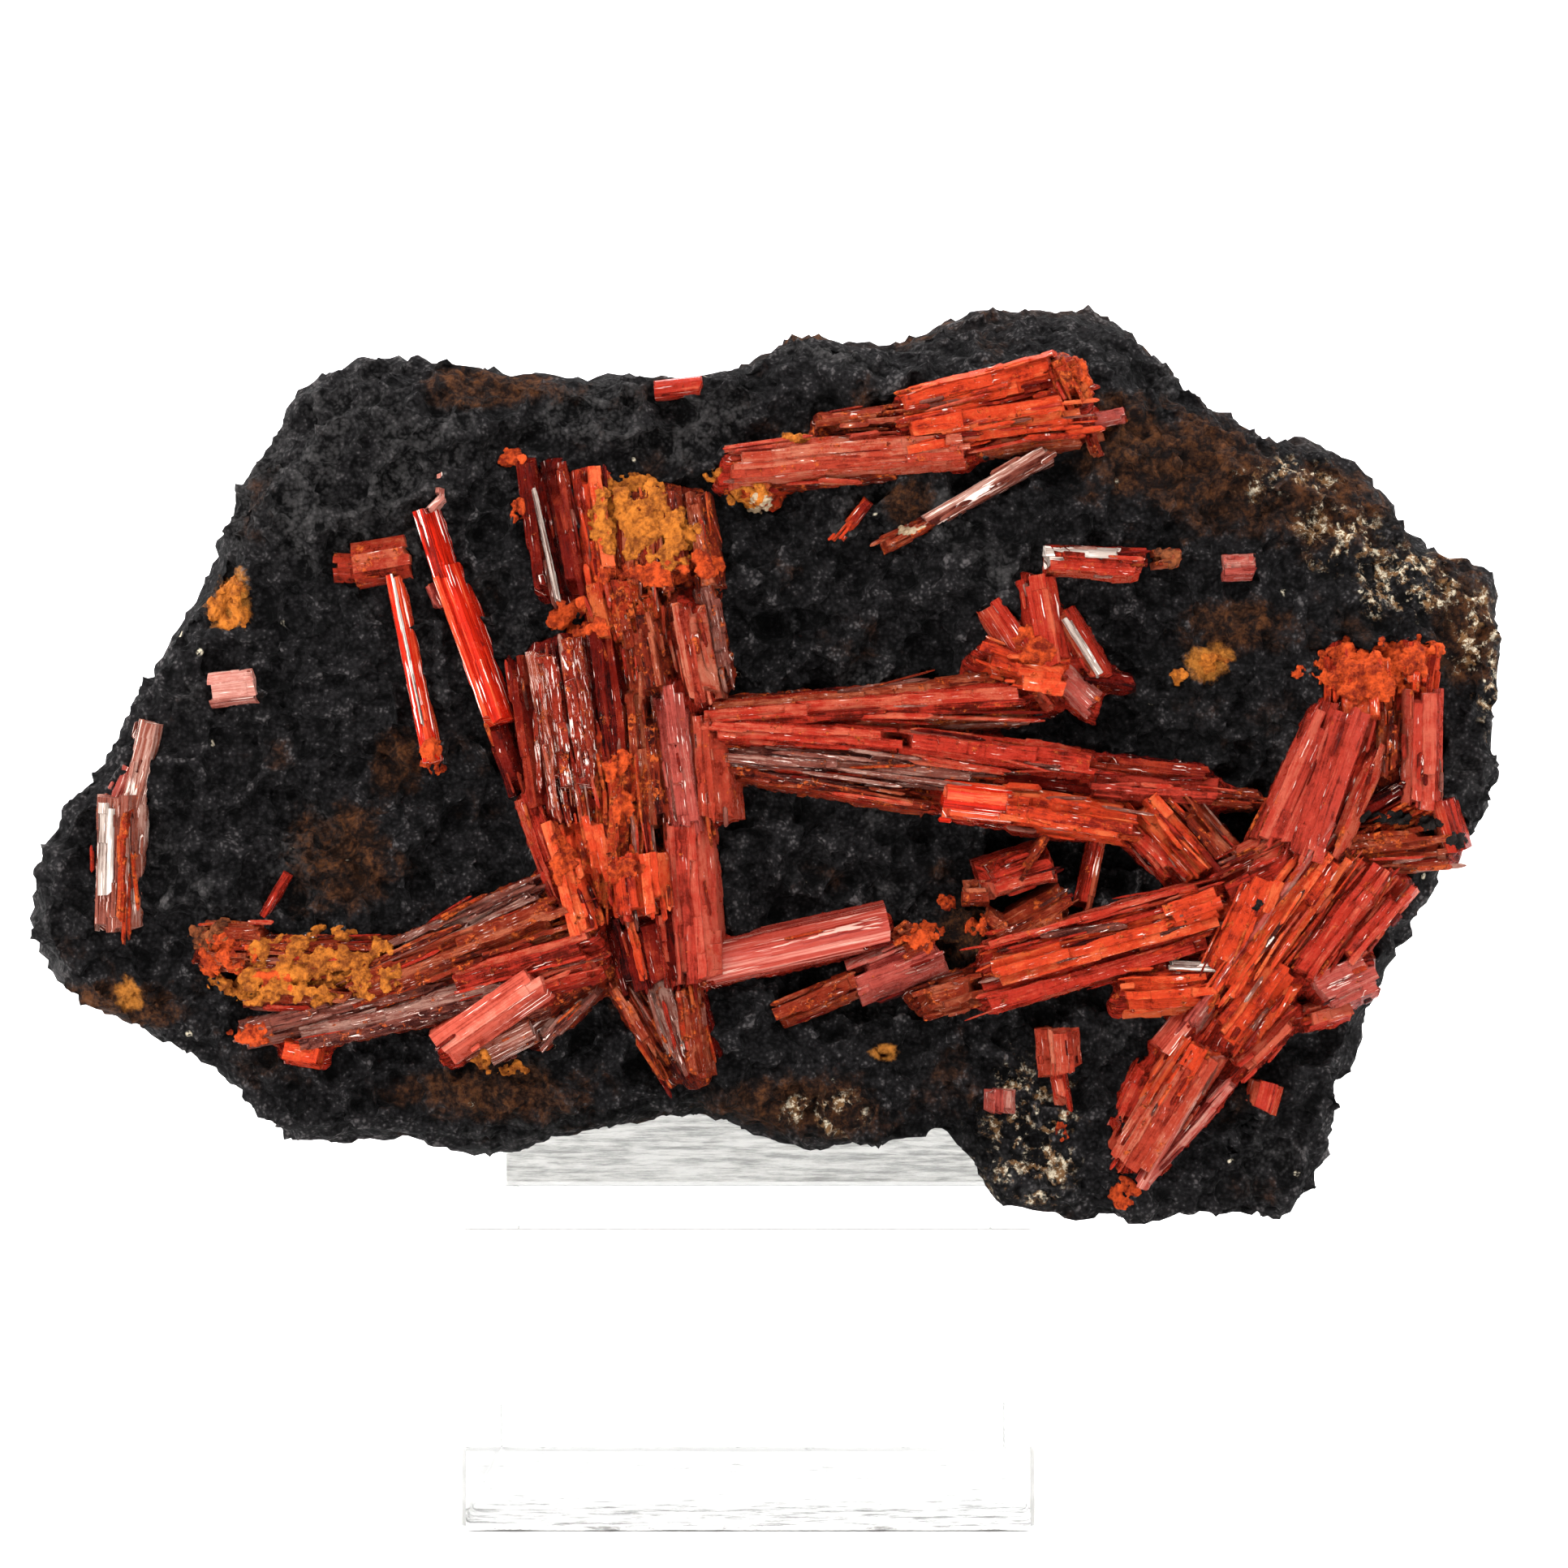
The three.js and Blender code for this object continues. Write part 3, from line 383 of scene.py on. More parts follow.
@dataclass(frozen=True)
class GoethiteFinish:
    """Dull charcoal goethite: crumbly and pitted, stained rust, ochre and cream in places.

    painted_relief_shade is how much painted shade darkens the slab's hollows and painted
    highlight lightens its crests, and dull and polished are the roughness of its plain and
    its rubbed places.
    """

    # Darkest charcoal of the pores, and painted shade in the hollows.
    hollow: Colour = (0.0008, 0.0008, 0.0008)
    grain: Colour = (0.0122, 0.0112, 0.0118)
    # Light grey of the highest grain, and painted highlight on the crests.
    crest_and_painted_highlight: Colour = (0.086, 0.078, 0.078)
    rust_dark: Colour = (0.007, 0.003, 0.002)
    rust_light: Colour = (0.105, 0.037, 0.012)
    ochre_dark: Colour = (0.16, 0.045, 0.007)
    ochre_light: Colour = (0.52, 0.19, 0.03)
    cream_dark: Colour = (0.20, 0.10, 0.04)
    cream_light: Colour = (0.80, 0.70, 0.52)
    # Colour of the lighter grey veil.
    grey_veil_colour: Colour = (0.050, 0.047, 0.046)
    painted_relief_shade: float = 0.10
    dull: float = 0.9
    polished: float = 0.6

    def material(self) -> bpy.types.Material:
        """Builds the slab's material."""
        tree = NodeTree("goethite")
        place = tree.object_mm()
        coarse = tree.noise(place, 1.15, 9.0, 0.78)
        pores = tree.cells(place, 1.0, "SMOOTH_F1")
        crumbs = tree.cells(place, 0.34)
        height = tree.math("MULTIPLY_ADD", coarse, 1.1,
                           tree.math("SUBTRACT", tree.math("MULTIPLY", pores, 0.35),
                                     tree.math("MULTIPLY", crumbs, 0.42)))
        # Painted shade and highlight: how far each place stands out darkens hollows and lightens crests.
        relief = tree.node("Attribute", attribute_name="relief").outputs["Fac"]
        height = tree.math("MULTIPLY_ADD", relief, self.painted_relief_shade, height)
        shade = tree.ramp(height, 0.27, 0.64)
        colour = tree.mix(shade, self.hollow, self.grain)
        colour = tree.mix(tree.ramp(height, 0.58, 0.84), colour, self.crest_and_painted_highlight)
        ragged = tree.noise(place, 4.5, 8.0, 0.72)
        patchy = tree.ramp(tree.noise(place, 3.2, 7.0, 0.70), 0.36, 0.62)
        # A lighter grey veil over the lighter grain, in random patches and over the patches at the upper left
        # and top.
        dust = tree.math("MAXIMUM", tree.ramp(tree.noise(place, 11.0, 7.0, 0.66), 0.54, 0.68),
                         tree.math("MULTIPLY", patchy, self.share(tree, Stain.DUST, place, ragged)))
        grey_veil_share = tree.math("MULTIPLY", tree.math("MULTIPLY", dust, shade), 0.7)
        colour = tree.mix(grey_veil_share, colour, self.grey_veil_colour)
        polish = self.share(tree, Stain.POLISH, place, ragged)
        return tree.finish(tree.node("BsdfPrincipled", {
            "Base Color": self.stained(tree, colour, place, ragged, shade),
            "Roughness": tree.math("MULTIPLY_ADD", polish, self.polished - self.dull, self.dull),
            "Normal": tree.bump(height, 0.9), "IOR": 1.5, "Specular IOR Level": 0.07}))

    def share(self, tree: NodeTree, stain: Stain, place: Socket, ragged: Socket) -> Socket:
        """How strongly a stain covers each place, as the largest over its patches.

        Args:
            tree: The material's tree.
            stain: The stain.
            place: Object coordinates in millimetres.
            ragged: Noise that frays the patches' edges.

        Returns:
            A socket from 0 to 1.
        """
        total = None
        for patch in (patch for patch in PATCHES if patch.stain is stain):
            scale = (1 / patch.half_x, 1 / patch.half_y, 1 / patch.half_z)
            centre = (-patch.x * scale[0], -patch.y * scale[1], -patch.z * scale[2])
            reach = tree.node("VectorMath", {0: tree.scaled(place, scale, centre)}, operation="LENGTH")
            frayed = tree.math("MULTIPLY_ADD", ragged, -3.4, reach.outputs["Value"])
            cover = tree.ramp(frayed, -0.45, -1.05)
            total = cover if total is None else tree.math("MAXIMUM", total, cover)
        return total

    def stained(self, tree: NodeTree, colour: Socket, place: Socket, ragged: Socket, shade: Socket) -> Socket:
        """Lays the stains over the charcoal.

        Args:
            tree: The material's tree.
            colour: The unstained colour.
            place: Object coordinates in millimetres.
            ragged: Noise that frays the patches' edges.
            shade: Light and dark of the grain, with painted shade in the hollows, 0 to 1.

        Returns:
            The colour with rust, ochre, cream and scattered flecks.
        """
        grit = tree.noise(place, 0.5, 5.0, 0.7)
        mottle = tree.ramp(tree.noise(place, 1.1, 8.0, 0.8), 0.40, 0.64)
        rust = tree.mix(mottle, self.rust_dark, self.rust_light)
        ochre = tree.mix(tree.ramp(grit, 0.30, 0.62), self.ochre_dark, self.ochre_light)
        cream = tree.mix(tree.ramp(grit, 0.48, 0.60), self.cream_dark, self.cream_light)
        depth = tree.node("SeparateXYZ", {0: place}).outputs["Y"]
        behind = tree.ramp(depth, -13.0, 4.0)
        broad = tree.noise(place, 14.0, 5.0, 0.6)
        weathered = tree.math("MULTIPLY", behind, tree.ramp(broad, 0.46, 0.62))
        faint = tree.math("MULTIPLY", tree.ramp(tree.noise(place, 7.0, 6.0, 0.65), 0.58, 0.70), 0.55)
        rusted = tree.math("MAXIMUM", tree.math("MAXIMUM", weathered, faint),
                           self.share(tree, Stain.RUST, place, ragged))
        # Rust thins where the painted hollow shade is darkest.
        uneven = tree.math("MULTIPLY", rusted, tree.math("MULTIPLY_ADD", shade, 0.75, 0.25))
        colour = tree.mix(uneven, colour, rust)
        colour = tree.mix(self.share(tree, Stain.OCHRE, place, ragged), colour, ochre)
        flaky = tree.math("MULTIPLY", self.share(tree, Stain.CREAM, place, ragged),
                          tree.ramp(tree.noise(place, 1.3, 5.0, 0.7), 0.50, 0.60))
        colour = tree.mix(flaky, colour, cream)
        fleck = tree.ramp(tree.cells(place, 4.6), 0.075, 0.045)
        return tree.mix(tree.math("MULTIPLY", fleck, tree.ramp(grit, 0.45, 0.6)), colour, self.cream_light)


@dataclass(frozen=True)
class CrocoiteFinish:
    """Crocoite: glossy, striated along each crystal, with pale lines of painted highlight and orange dust.

    shadow, body and light are its three reds, gloss its roughness, streak how strongly
    they follow the striations, dust the share under orange grains, glint the share
    of pale lines of painted highlight, rough how broken and stepped its columns are, slant
    how oblique its ends are, and pale the colour of those painted highlight lines.
    """

    label: str
    shadow: Colour
    body: Colour
    light: Colour
    gloss: float = 0.2
    streak: float = 0.6
    dust: float = 0.0
    # Share of pale highlight lines painted into the colour, standing in for glints.
    glint: float = 0.0
    rough: float = 0.5
    slant: float = 0.3
    # Colour of the painted highlight lines.
    pale: Colour = (0.78, 0.60, 0.53)
    dust_dark: Colour = (0.09, 0.010, 0.003)
    dust_light: Colour = (0.42, 0.075, 0.014)

    def material(self) -> bpy.types.Material:
        """Builds the finish's material."""
        tree = NodeTree("crocoite_" + self.label)
        along = tree.node("UVMap", uv_map="Grain").outputs["UV"]
        place = tree.object_mm()
        fine = tree.noise(tree.scaled(along, (8.0, 0.06 + 0.5 * self.rough, 1.0)), 1.0, 3.0, 0.7)
        broad = tree.noise(tree.scaled(along, (2.2, 0.03 + 0.4 * self.rough, 1.0)), 1.0, 5.0, 0.68)
        cloud = tree.noise(place, 1.5, 9.0, 0.76)
        tint = tree.node("Attribute", attribute_name="tint").outputs["Fac"]
        lined = tree.math("MULTIPLY_ADD", fine, 0.5, tree.math("MULTIPLY", broad, 0.5))
        tone = tree.math("ADD", tree.math("MULTIPLY", lined, self.streak),
                         tree.math("MULTIPLY_ADD", cloud, 1 - self.streak,
                                   tree.math("MULTIPLY_ADD", tint, 0.16, -0.08)))
        colour = tree.mix(tree.ramp(tone, 0.38, 0.50), self.shadow, self.body)
        colour = tree.mix(tree.ramp(tone, 0.51, 0.62), colour, self.light)
        roughness = tree.math("MULTIPLY_ADD", tree.ramp(cloud, 0.40, 0.65), 0.22, self.gloss)
        normal = tree.bump(lined, 0.14 + 0.22 * self.rough)
        # Painted highlight: pale glint lines laid into the base colour along the grain.
        if self.glint:
            pitch = (4.5 + 2.5 * self.rough, 0.08 + 0.60 * self.rough, 1.0)
            lines = tree.scaled(along, pitch, (7.0, 3.0, 0.0))
            line = tree.noise(lines, 1.0, 4.0, 0.55 + 0.2 * self.rough)
            painted_glint_mask = tree.ramp(line, 0.66 - 0.13 * self.glint, 0.69 - 0.13 * self.glint)
            colour = tree.mix(painted_glint_mask, colour, self.pale)
        if self.dust:
            grains = tree.noise(place, 0.9, 8.0, 0.75)
            cover = tree.ramp(grains, 0.64 - 0.20 * self.dust, 0.69 - 0.20 * self.dust)
            speckle = tree.ramp(tree.noise(place, 0.3), 0.4, 0.6)
            colour = tree.mix(cover, colour, tree.mix(speckle, self.dust_dark, self.dust_light))
            roughness = tree.math("MAXIMUM", roughness, tree.math("MULTIPLY", cover, 0.75))
            normal = tree.bump(grains, 0.5, normal)
        return tree.finish(tree.node("BsdfPrincipled", {
            "Base Color": colour, "Roughness": roughness, "Normal": normal, "IOR": 1.6,
            "Specular IOR Level": 0.04}))


class Tone(Enum):
    """The looks that crystals of one growth take, each with its own share of painted highlight lines."""

    DEEP = CrocoiteFinish("deep", (0.008, 0.001, 0.001), (0.096, 0.004, 0.002), (0.2, 0.019, 0.007),
                          0.12, 0.6, 0.15, 0.15, 0.45)
    RED = CrocoiteFinish("red", (0.055, 0.003, 0.001), (0.285, 0.017, 0.008), (0.38, 0.074, 0.038),
                         0.2, 0.65, 0.3, 0.1, 0.6)
    # Saturated red, partly the crystals' own and partly painted glow standing in for light shining through
    # them.
    BRIGHT = CrocoiteFinish("bright", (0.07, 0.002, 0.001), (0.31, 0.009, 0.003), (0.43, 0.065, 0.022),
                            0.1, 0.85, 0.0, 0.5, 0.12)
    ORANGE = CrocoiteFinish("orange", (0.045, 0.003, 0.001), (0.253, 0.018, 0.004), (0.37, 0.07, 0.018),
                            0.34, 0.35, 0.7, 0.05, 0.95)
    SALMON = CrocoiteFinish("salmon", (0.09, 0.005, 0.002), (0.27, 0.028, 0.013), (0.35, 0.1, 0.057),
                            0.22, 0.6, 0.3, 0.1, 0.5)
    RUBY = CrocoiteFinish("ruby", (0.06, 0.003, 0.001), (0.26, 0.015, 0.007), (0.35, 0.066, 0.03),
                          0.14, 0.7, 0.1, 0.1, 0.2)
    DUSKY = CrocoiteFinish("dusky", (0.09, 0.005, 0.002), (0.285, 0.024, 0.013), (0.36, 0.066, 0.038),
                           0.24, 0.6, 0.15, 0.1, 0.42)
    CORAL = CrocoiteFinish("coral", (0.15, 0.012, 0.006), (0.29, 0.046, 0.027), (0.36, 0.11, 0.075),
                           0.2, 0.6, 0.0, 0.2, 0.12)
    EMBER = CrocoiteFinish("ember", (0.12, 0.006, 0.003), (0.4, 0.031, 0.008), (0.49, 0.088, 0.028),
                           0.26, 0.45, 0.35, 0.15, 0.6)
    STRIPED = CrocoiteFinish("striped", (0.09, 0.003, 0.002), (0.215, 0.028, 0.018), (0.31, 0.105, 0.08),
                             0.12, 0.95, 0.0, 0.45, 0.05, pale=(0.36, 0.2, 0.16))
    ROSE = CrocoiteFinish("rose", (0.09, 0.007, 0.005), (0.276, 0.043, 0.031), (0.35, 0.156, 0.12),
                          0.2, 0.75, 0.1, 0.25, 0.4)
    BLOCK = CrocoiteFinish("block", (0.04, 0.003, 0.001), (0.205, 0.015, 0.006), (0.29, 0.06, 0.028),
                           0.26, 0.3, 0.45, 0.05, 0.2)
    GREY = CrocoiteFinish("grey", (0.022, 0.003, 0.002), (0.135, 0.035, 0.024), (0.28, 0.145, 0.112),
                          0.22, 0.75, 0.3, 0.4, 0.7)
    # Painted highlight: many pale glint lines painted into a brown-red, for the glinting laths.
    SPARK = CrocoiteFinish("spark", (0.016, 0.001, 0.001), (0.185, 0.014, 0.006), (0.31, 0.072, 0.038),
                           0.12, 0.6, 0.4, 0.75, 0.8)
    BROWN = CrocoiteFinish("brown", (0.014, 0.001, 0.001), (0.145, 0.013, 0.004), (0.28, 0.07, 0.032),
                           0.28, 0.7, 0.5, 0.2, 0.85)
    PALE = CrocoiteFinish("pale", (0.1, 0.015, 0.01), (0.225, 0.075, 0.057), (0.32, 0.16, 0.13),
                          0.16, 0.8, 0.0, 0.5, 0.15, pale=(0.55, 0.45, 0.41))
    STREAKED = CrocoiteFinish("streaked", (0.04, 0.005, 0.003), (0.18, 0.045, 0.028), (0.34, 0.19, 0.15),
                              0.18, 0.9, 0.2, 0.6, 0.25)
    # Painted highlight: a white, silvery tone for thin crystals laid where glints of reflected light show.
    WHITE = CrocoiteFinish("white", (0.05, 0.02, 0.015), (0.26, 0.21, 0.18), (0.5, 0.47, 0.44),
                           0.08, 0.9, 0.0, 0.6, 0.15)


@dataclass(frozen=True)
class CrustFinish:
    """Crumbly limonite crust and crumbs, dull and granular."""

    label: str
    dark: Colour
    light: Colour

    def material(self) -> bpy.types.Material:
        """Builds the crust's material."""
        tree = NodeTree("crust_" + self.label)
        place = tree.object_mm()
        grit = tree.noise(place, 0.55, 7.0, 0.7)
        broad = tree.noise(place, 1.8, 4.0, 0.6)
        tone = tree.math("MULTIPLY_ADD", grit, 0.6, tree.math("MULTIPLY", broad, 0.4))
        colour = tree.mix(tree.ramp(tone, 0.38, 0.60), self.dark, self.light)
        normal = tree.bump(grit, 0.35)
        return tree.finish(tree.node("BsdfPrincipled", {
            "Base Color": colour, "Roughness": 0.9, "Normal": normal, "IOR": 1.5,
            "Specular IOR Level": 0.08}))


class Crumb(Enum):
    """What a crust or a heap of crumbs is made of."""

    OCHRE = CrustFinish("ochre", (0.11, 0.025, 0.004), (0.38, 0.116, 0.014))
    ORANGE = CrustFinish("orange", (0.10, 0.007, 0.002), (0.42, 0.052, 0.009))
    CHARCOAL = CrustFinish("charcoal", (0.001, 0.001, 0.001), (0.012, 0.009, 0.008))
    BROWN = CrustFinish("brown", (0.035, 0.010, 0.005), (0.20, 0.055, 0.018))
    CREAM = CrustFinish("cream", (0.12, 0.07, 0.035), (0.34, 0.26, 0.17))


@dataclass(frozen=True)
class AcrylicFinish:
    """Clear acrylic, as one way of finishing a face leaves it.

    dark and light are its tints, clearness how much light passes through, lustre how
    strongly it mirrors, scratch how deep its scratches are, strokes their numbers per
    millimetre along each axis, marks how far down their noise they run from dark to light,
    front_darkening how much darker they are towards the stand's front, and ior its refraction.
    """

    label: str
    dark: Colour = (0.98, 0.985, 0.98)
    light: Colour = (0.98, 0.985, 0.98)
    roughness: float = 0.0
    clearness: float = 1.0
    lustre: float = 0.5
    scratch: float = 0.0
    strokes: Triple = (0.28, 0.7, 3.2)
    marks: tuple[float, float] = (0.34, 0.62)
    front_darkening: float = 0.0
    ior: float = 1.49

    def material(self) -> bpy.types.Material:
        """Builds the acrylic's material."""
        tree = NodeTree("acrylic_" + self.label)
        inputs = {"Base Color": self.light, "Transmission Weight": self.clearness, "IOR": self.ior,
                  "Roughness": self.roughness, "Specular IOR Level": self.lustre}
        if self.scratch:
            place = tree.object_mm()
            lines = tree.noise(tree.scaled(place, self.strokes), 1.0, 7.0, 0.75)
            inputs["Normal"] = tree.bump(lines, self.scratch)
            front = tree.ramp(tree.node("SeparateXYZ", {0: place}).outputs["Y"], 14.0, -28.0)
            level = tree.math("MULTIPLY_ADD", front, -self.front_darkening, lines)
            inputs["Base Color"] = tree.mix(tree.ramp(level, *self.marks), self.dark, self.light)
        return tree.finish(tree.node("BsdfPrincipled", inputs))


class Cut(Enum):
    """How a face of the stand was finished."""

    POLISHED = AcrylicFinish("clear")
    SEAT = AcrylicFinish("seat", ior=1.02)
    # Painted shade: a grey line on the clear block's forward-looking softened edges.
    EDGE = AcrylicFinish("edge", light=(0.30, 0.30, 0.29), roughness=0.1, clearness=0.45, lustre=0.1)
    SAWN = AcrylicFinish("sawn", (0.19, 0.186, 0.175), (0.60, 0.59, 0.56), 0.5, 0.25, scratch=0.5)
    UNDERSIDE = AcrylicFinish("underside", (0.20, 0.195, 0.19), (0.97, 0.97, 0.96), 0.4, 0.08, 0.0,
                              scratch=0.3, strokes=(0.28, 0.50, 1.0), marks=(0.26, 0.43), front_darkening=0.12)


@dataclass(frozen=True)
class PaperFinish:
    """Plain pale studio paper."""

    colour: Colour = (0.93, 0.93, 0.925)

    def material(self) -> bpy.types.Material:
        """Builds the paper's material."""
        tree = NodeTree("paper")
        fibre = tree.noise(tree.object_mm(), 1.5, 3.0)
        return tree.finish(tree.node("BsdfPrincipled", {
            "Base Color": self.colour, "Roughness": 0.9, "Normal": tree.bump(fibre, 0.02)}))


@dataclass
class BlockShop:
    """Models the blocks that crystals are cut from, one for each number of columns and breaks.

    A block is a grid drawn down in three steps: two lines of vertices at each column
    across, two at each break along it, and four layers from its top to its root. It
    stands on whole numbers, so a crystal finds each line's place by its number.
    """

    layers: int = 4
    blocks: dict[tuple[int, int], bpy.types.Object] = field(default_factory=dict)

    def block(self, columns: int, breaks: int) -> bpy.types.Mesh:
        """A fresh copy of the block with these numbers, which is modelled on first use."""
        if (columns, breaks) not in self.blocks:
            self.blocks[columns, breaks] = self.model(2 * columns - 1, 2 * breaks + 1)
        return self.blocks[columns, breaks].data.copy()

    def model(self, across: int, along: int) -> bpy.types.Object:
        """Adds a grid and extrudes it down, layer by layer.

        Args:
            across: Faces across the block.
            along: Faces along it.

        Returns:
            The block.
        """
        deselect_all()
        bpy.ops.mesh.primitive_grid_add(x_subdivisions=across, y_subdivisions=along, size=1,
                                        location=(across / 2, along / 2, 0))
        piece = newest(f"block_{across}_{along}")
        piece.scale = (across, along, 1)
        settle(piece)
        bpy.ops.object.mode_set(mode="EDIT")
        bpy.ops.mesh.select_mode(type="FACE")
        bpy.ops.mesh.select_all(action="SELECT")
        for _ in range(self.layers - 1):
            bpy.ops.mesh.extrude_region_move(TRANSFORM_OT_translate={"value": (0, 0, -1)})
        bpy.ops.mesh.select_all(action="SELECT")
        bpy.ops.mesh.normals_make_consistent(inside=False)
        bpy.ops.object.mode_set(mode="OBJECT")
        return piece

    def clear(self) -> None:
        """Removes the models once every copy is made."""
        for block in self.blocks.values():
            bpy.data.objects.remove(block)


@dataclass
class SplinterShop:
    """Models one splinter, a six-sided needle of unit length drawn in at both ends."""

    needle: bpy.types.Object | None = None

    def build(self) -> None:
        """Models the splinter."""
        deselect_all()
        bpy.ops.mesh.primitive_cylinder_add(vertices=6, radius=0.5, depth=0.8, location=(0, 0, 0.5))
        self.needle = newest("splinter")
        for upward, tip in ((1, 0.1), (-1, -0.1)):
            select_faces(self.needle, lambda p, way=upward: p.normal.z * way > FACING)
            bpy.ops.object.mode_set(mode="EDIT")
            bpy.ops.mesh.select_mode(type="FACE")
            bpy.ops.mesh.extrude_region_move(TRANSFORM_OT_translate={"value": (0.12, 0, tip)})
            bpy.ops.transform.resize(value=(0.35, 0.35, 1))
            bpy.ops.object.mode_set(mode="OBJECT")
        settle(self.needle)

    def mesh(self) -> bpy.types.Mesh:
        """A fresh copy of the splinter."""
        return self.needle.data.copy()

    def clear(self) -> None:
        """Removes the model once every copy is made."""
        bpy.data.objects.remove(self.needle)


@dataclass(frozen=True)
class Crystal:
    """One crystal of a growth, between two places over the slab's face.

    lift1 and lift2 are its axis's heights over the face at its two ends, roll its turn
    about its axis in degrees, and strands how many bundles its columns fall into.
    """

    name: str
    x1: float
    z1: float
    x2: float
    z2: float
    width: float
    thickness: float
    lift1: float
    lift2: float
    roll: float
    tone: Tone
    strands: int


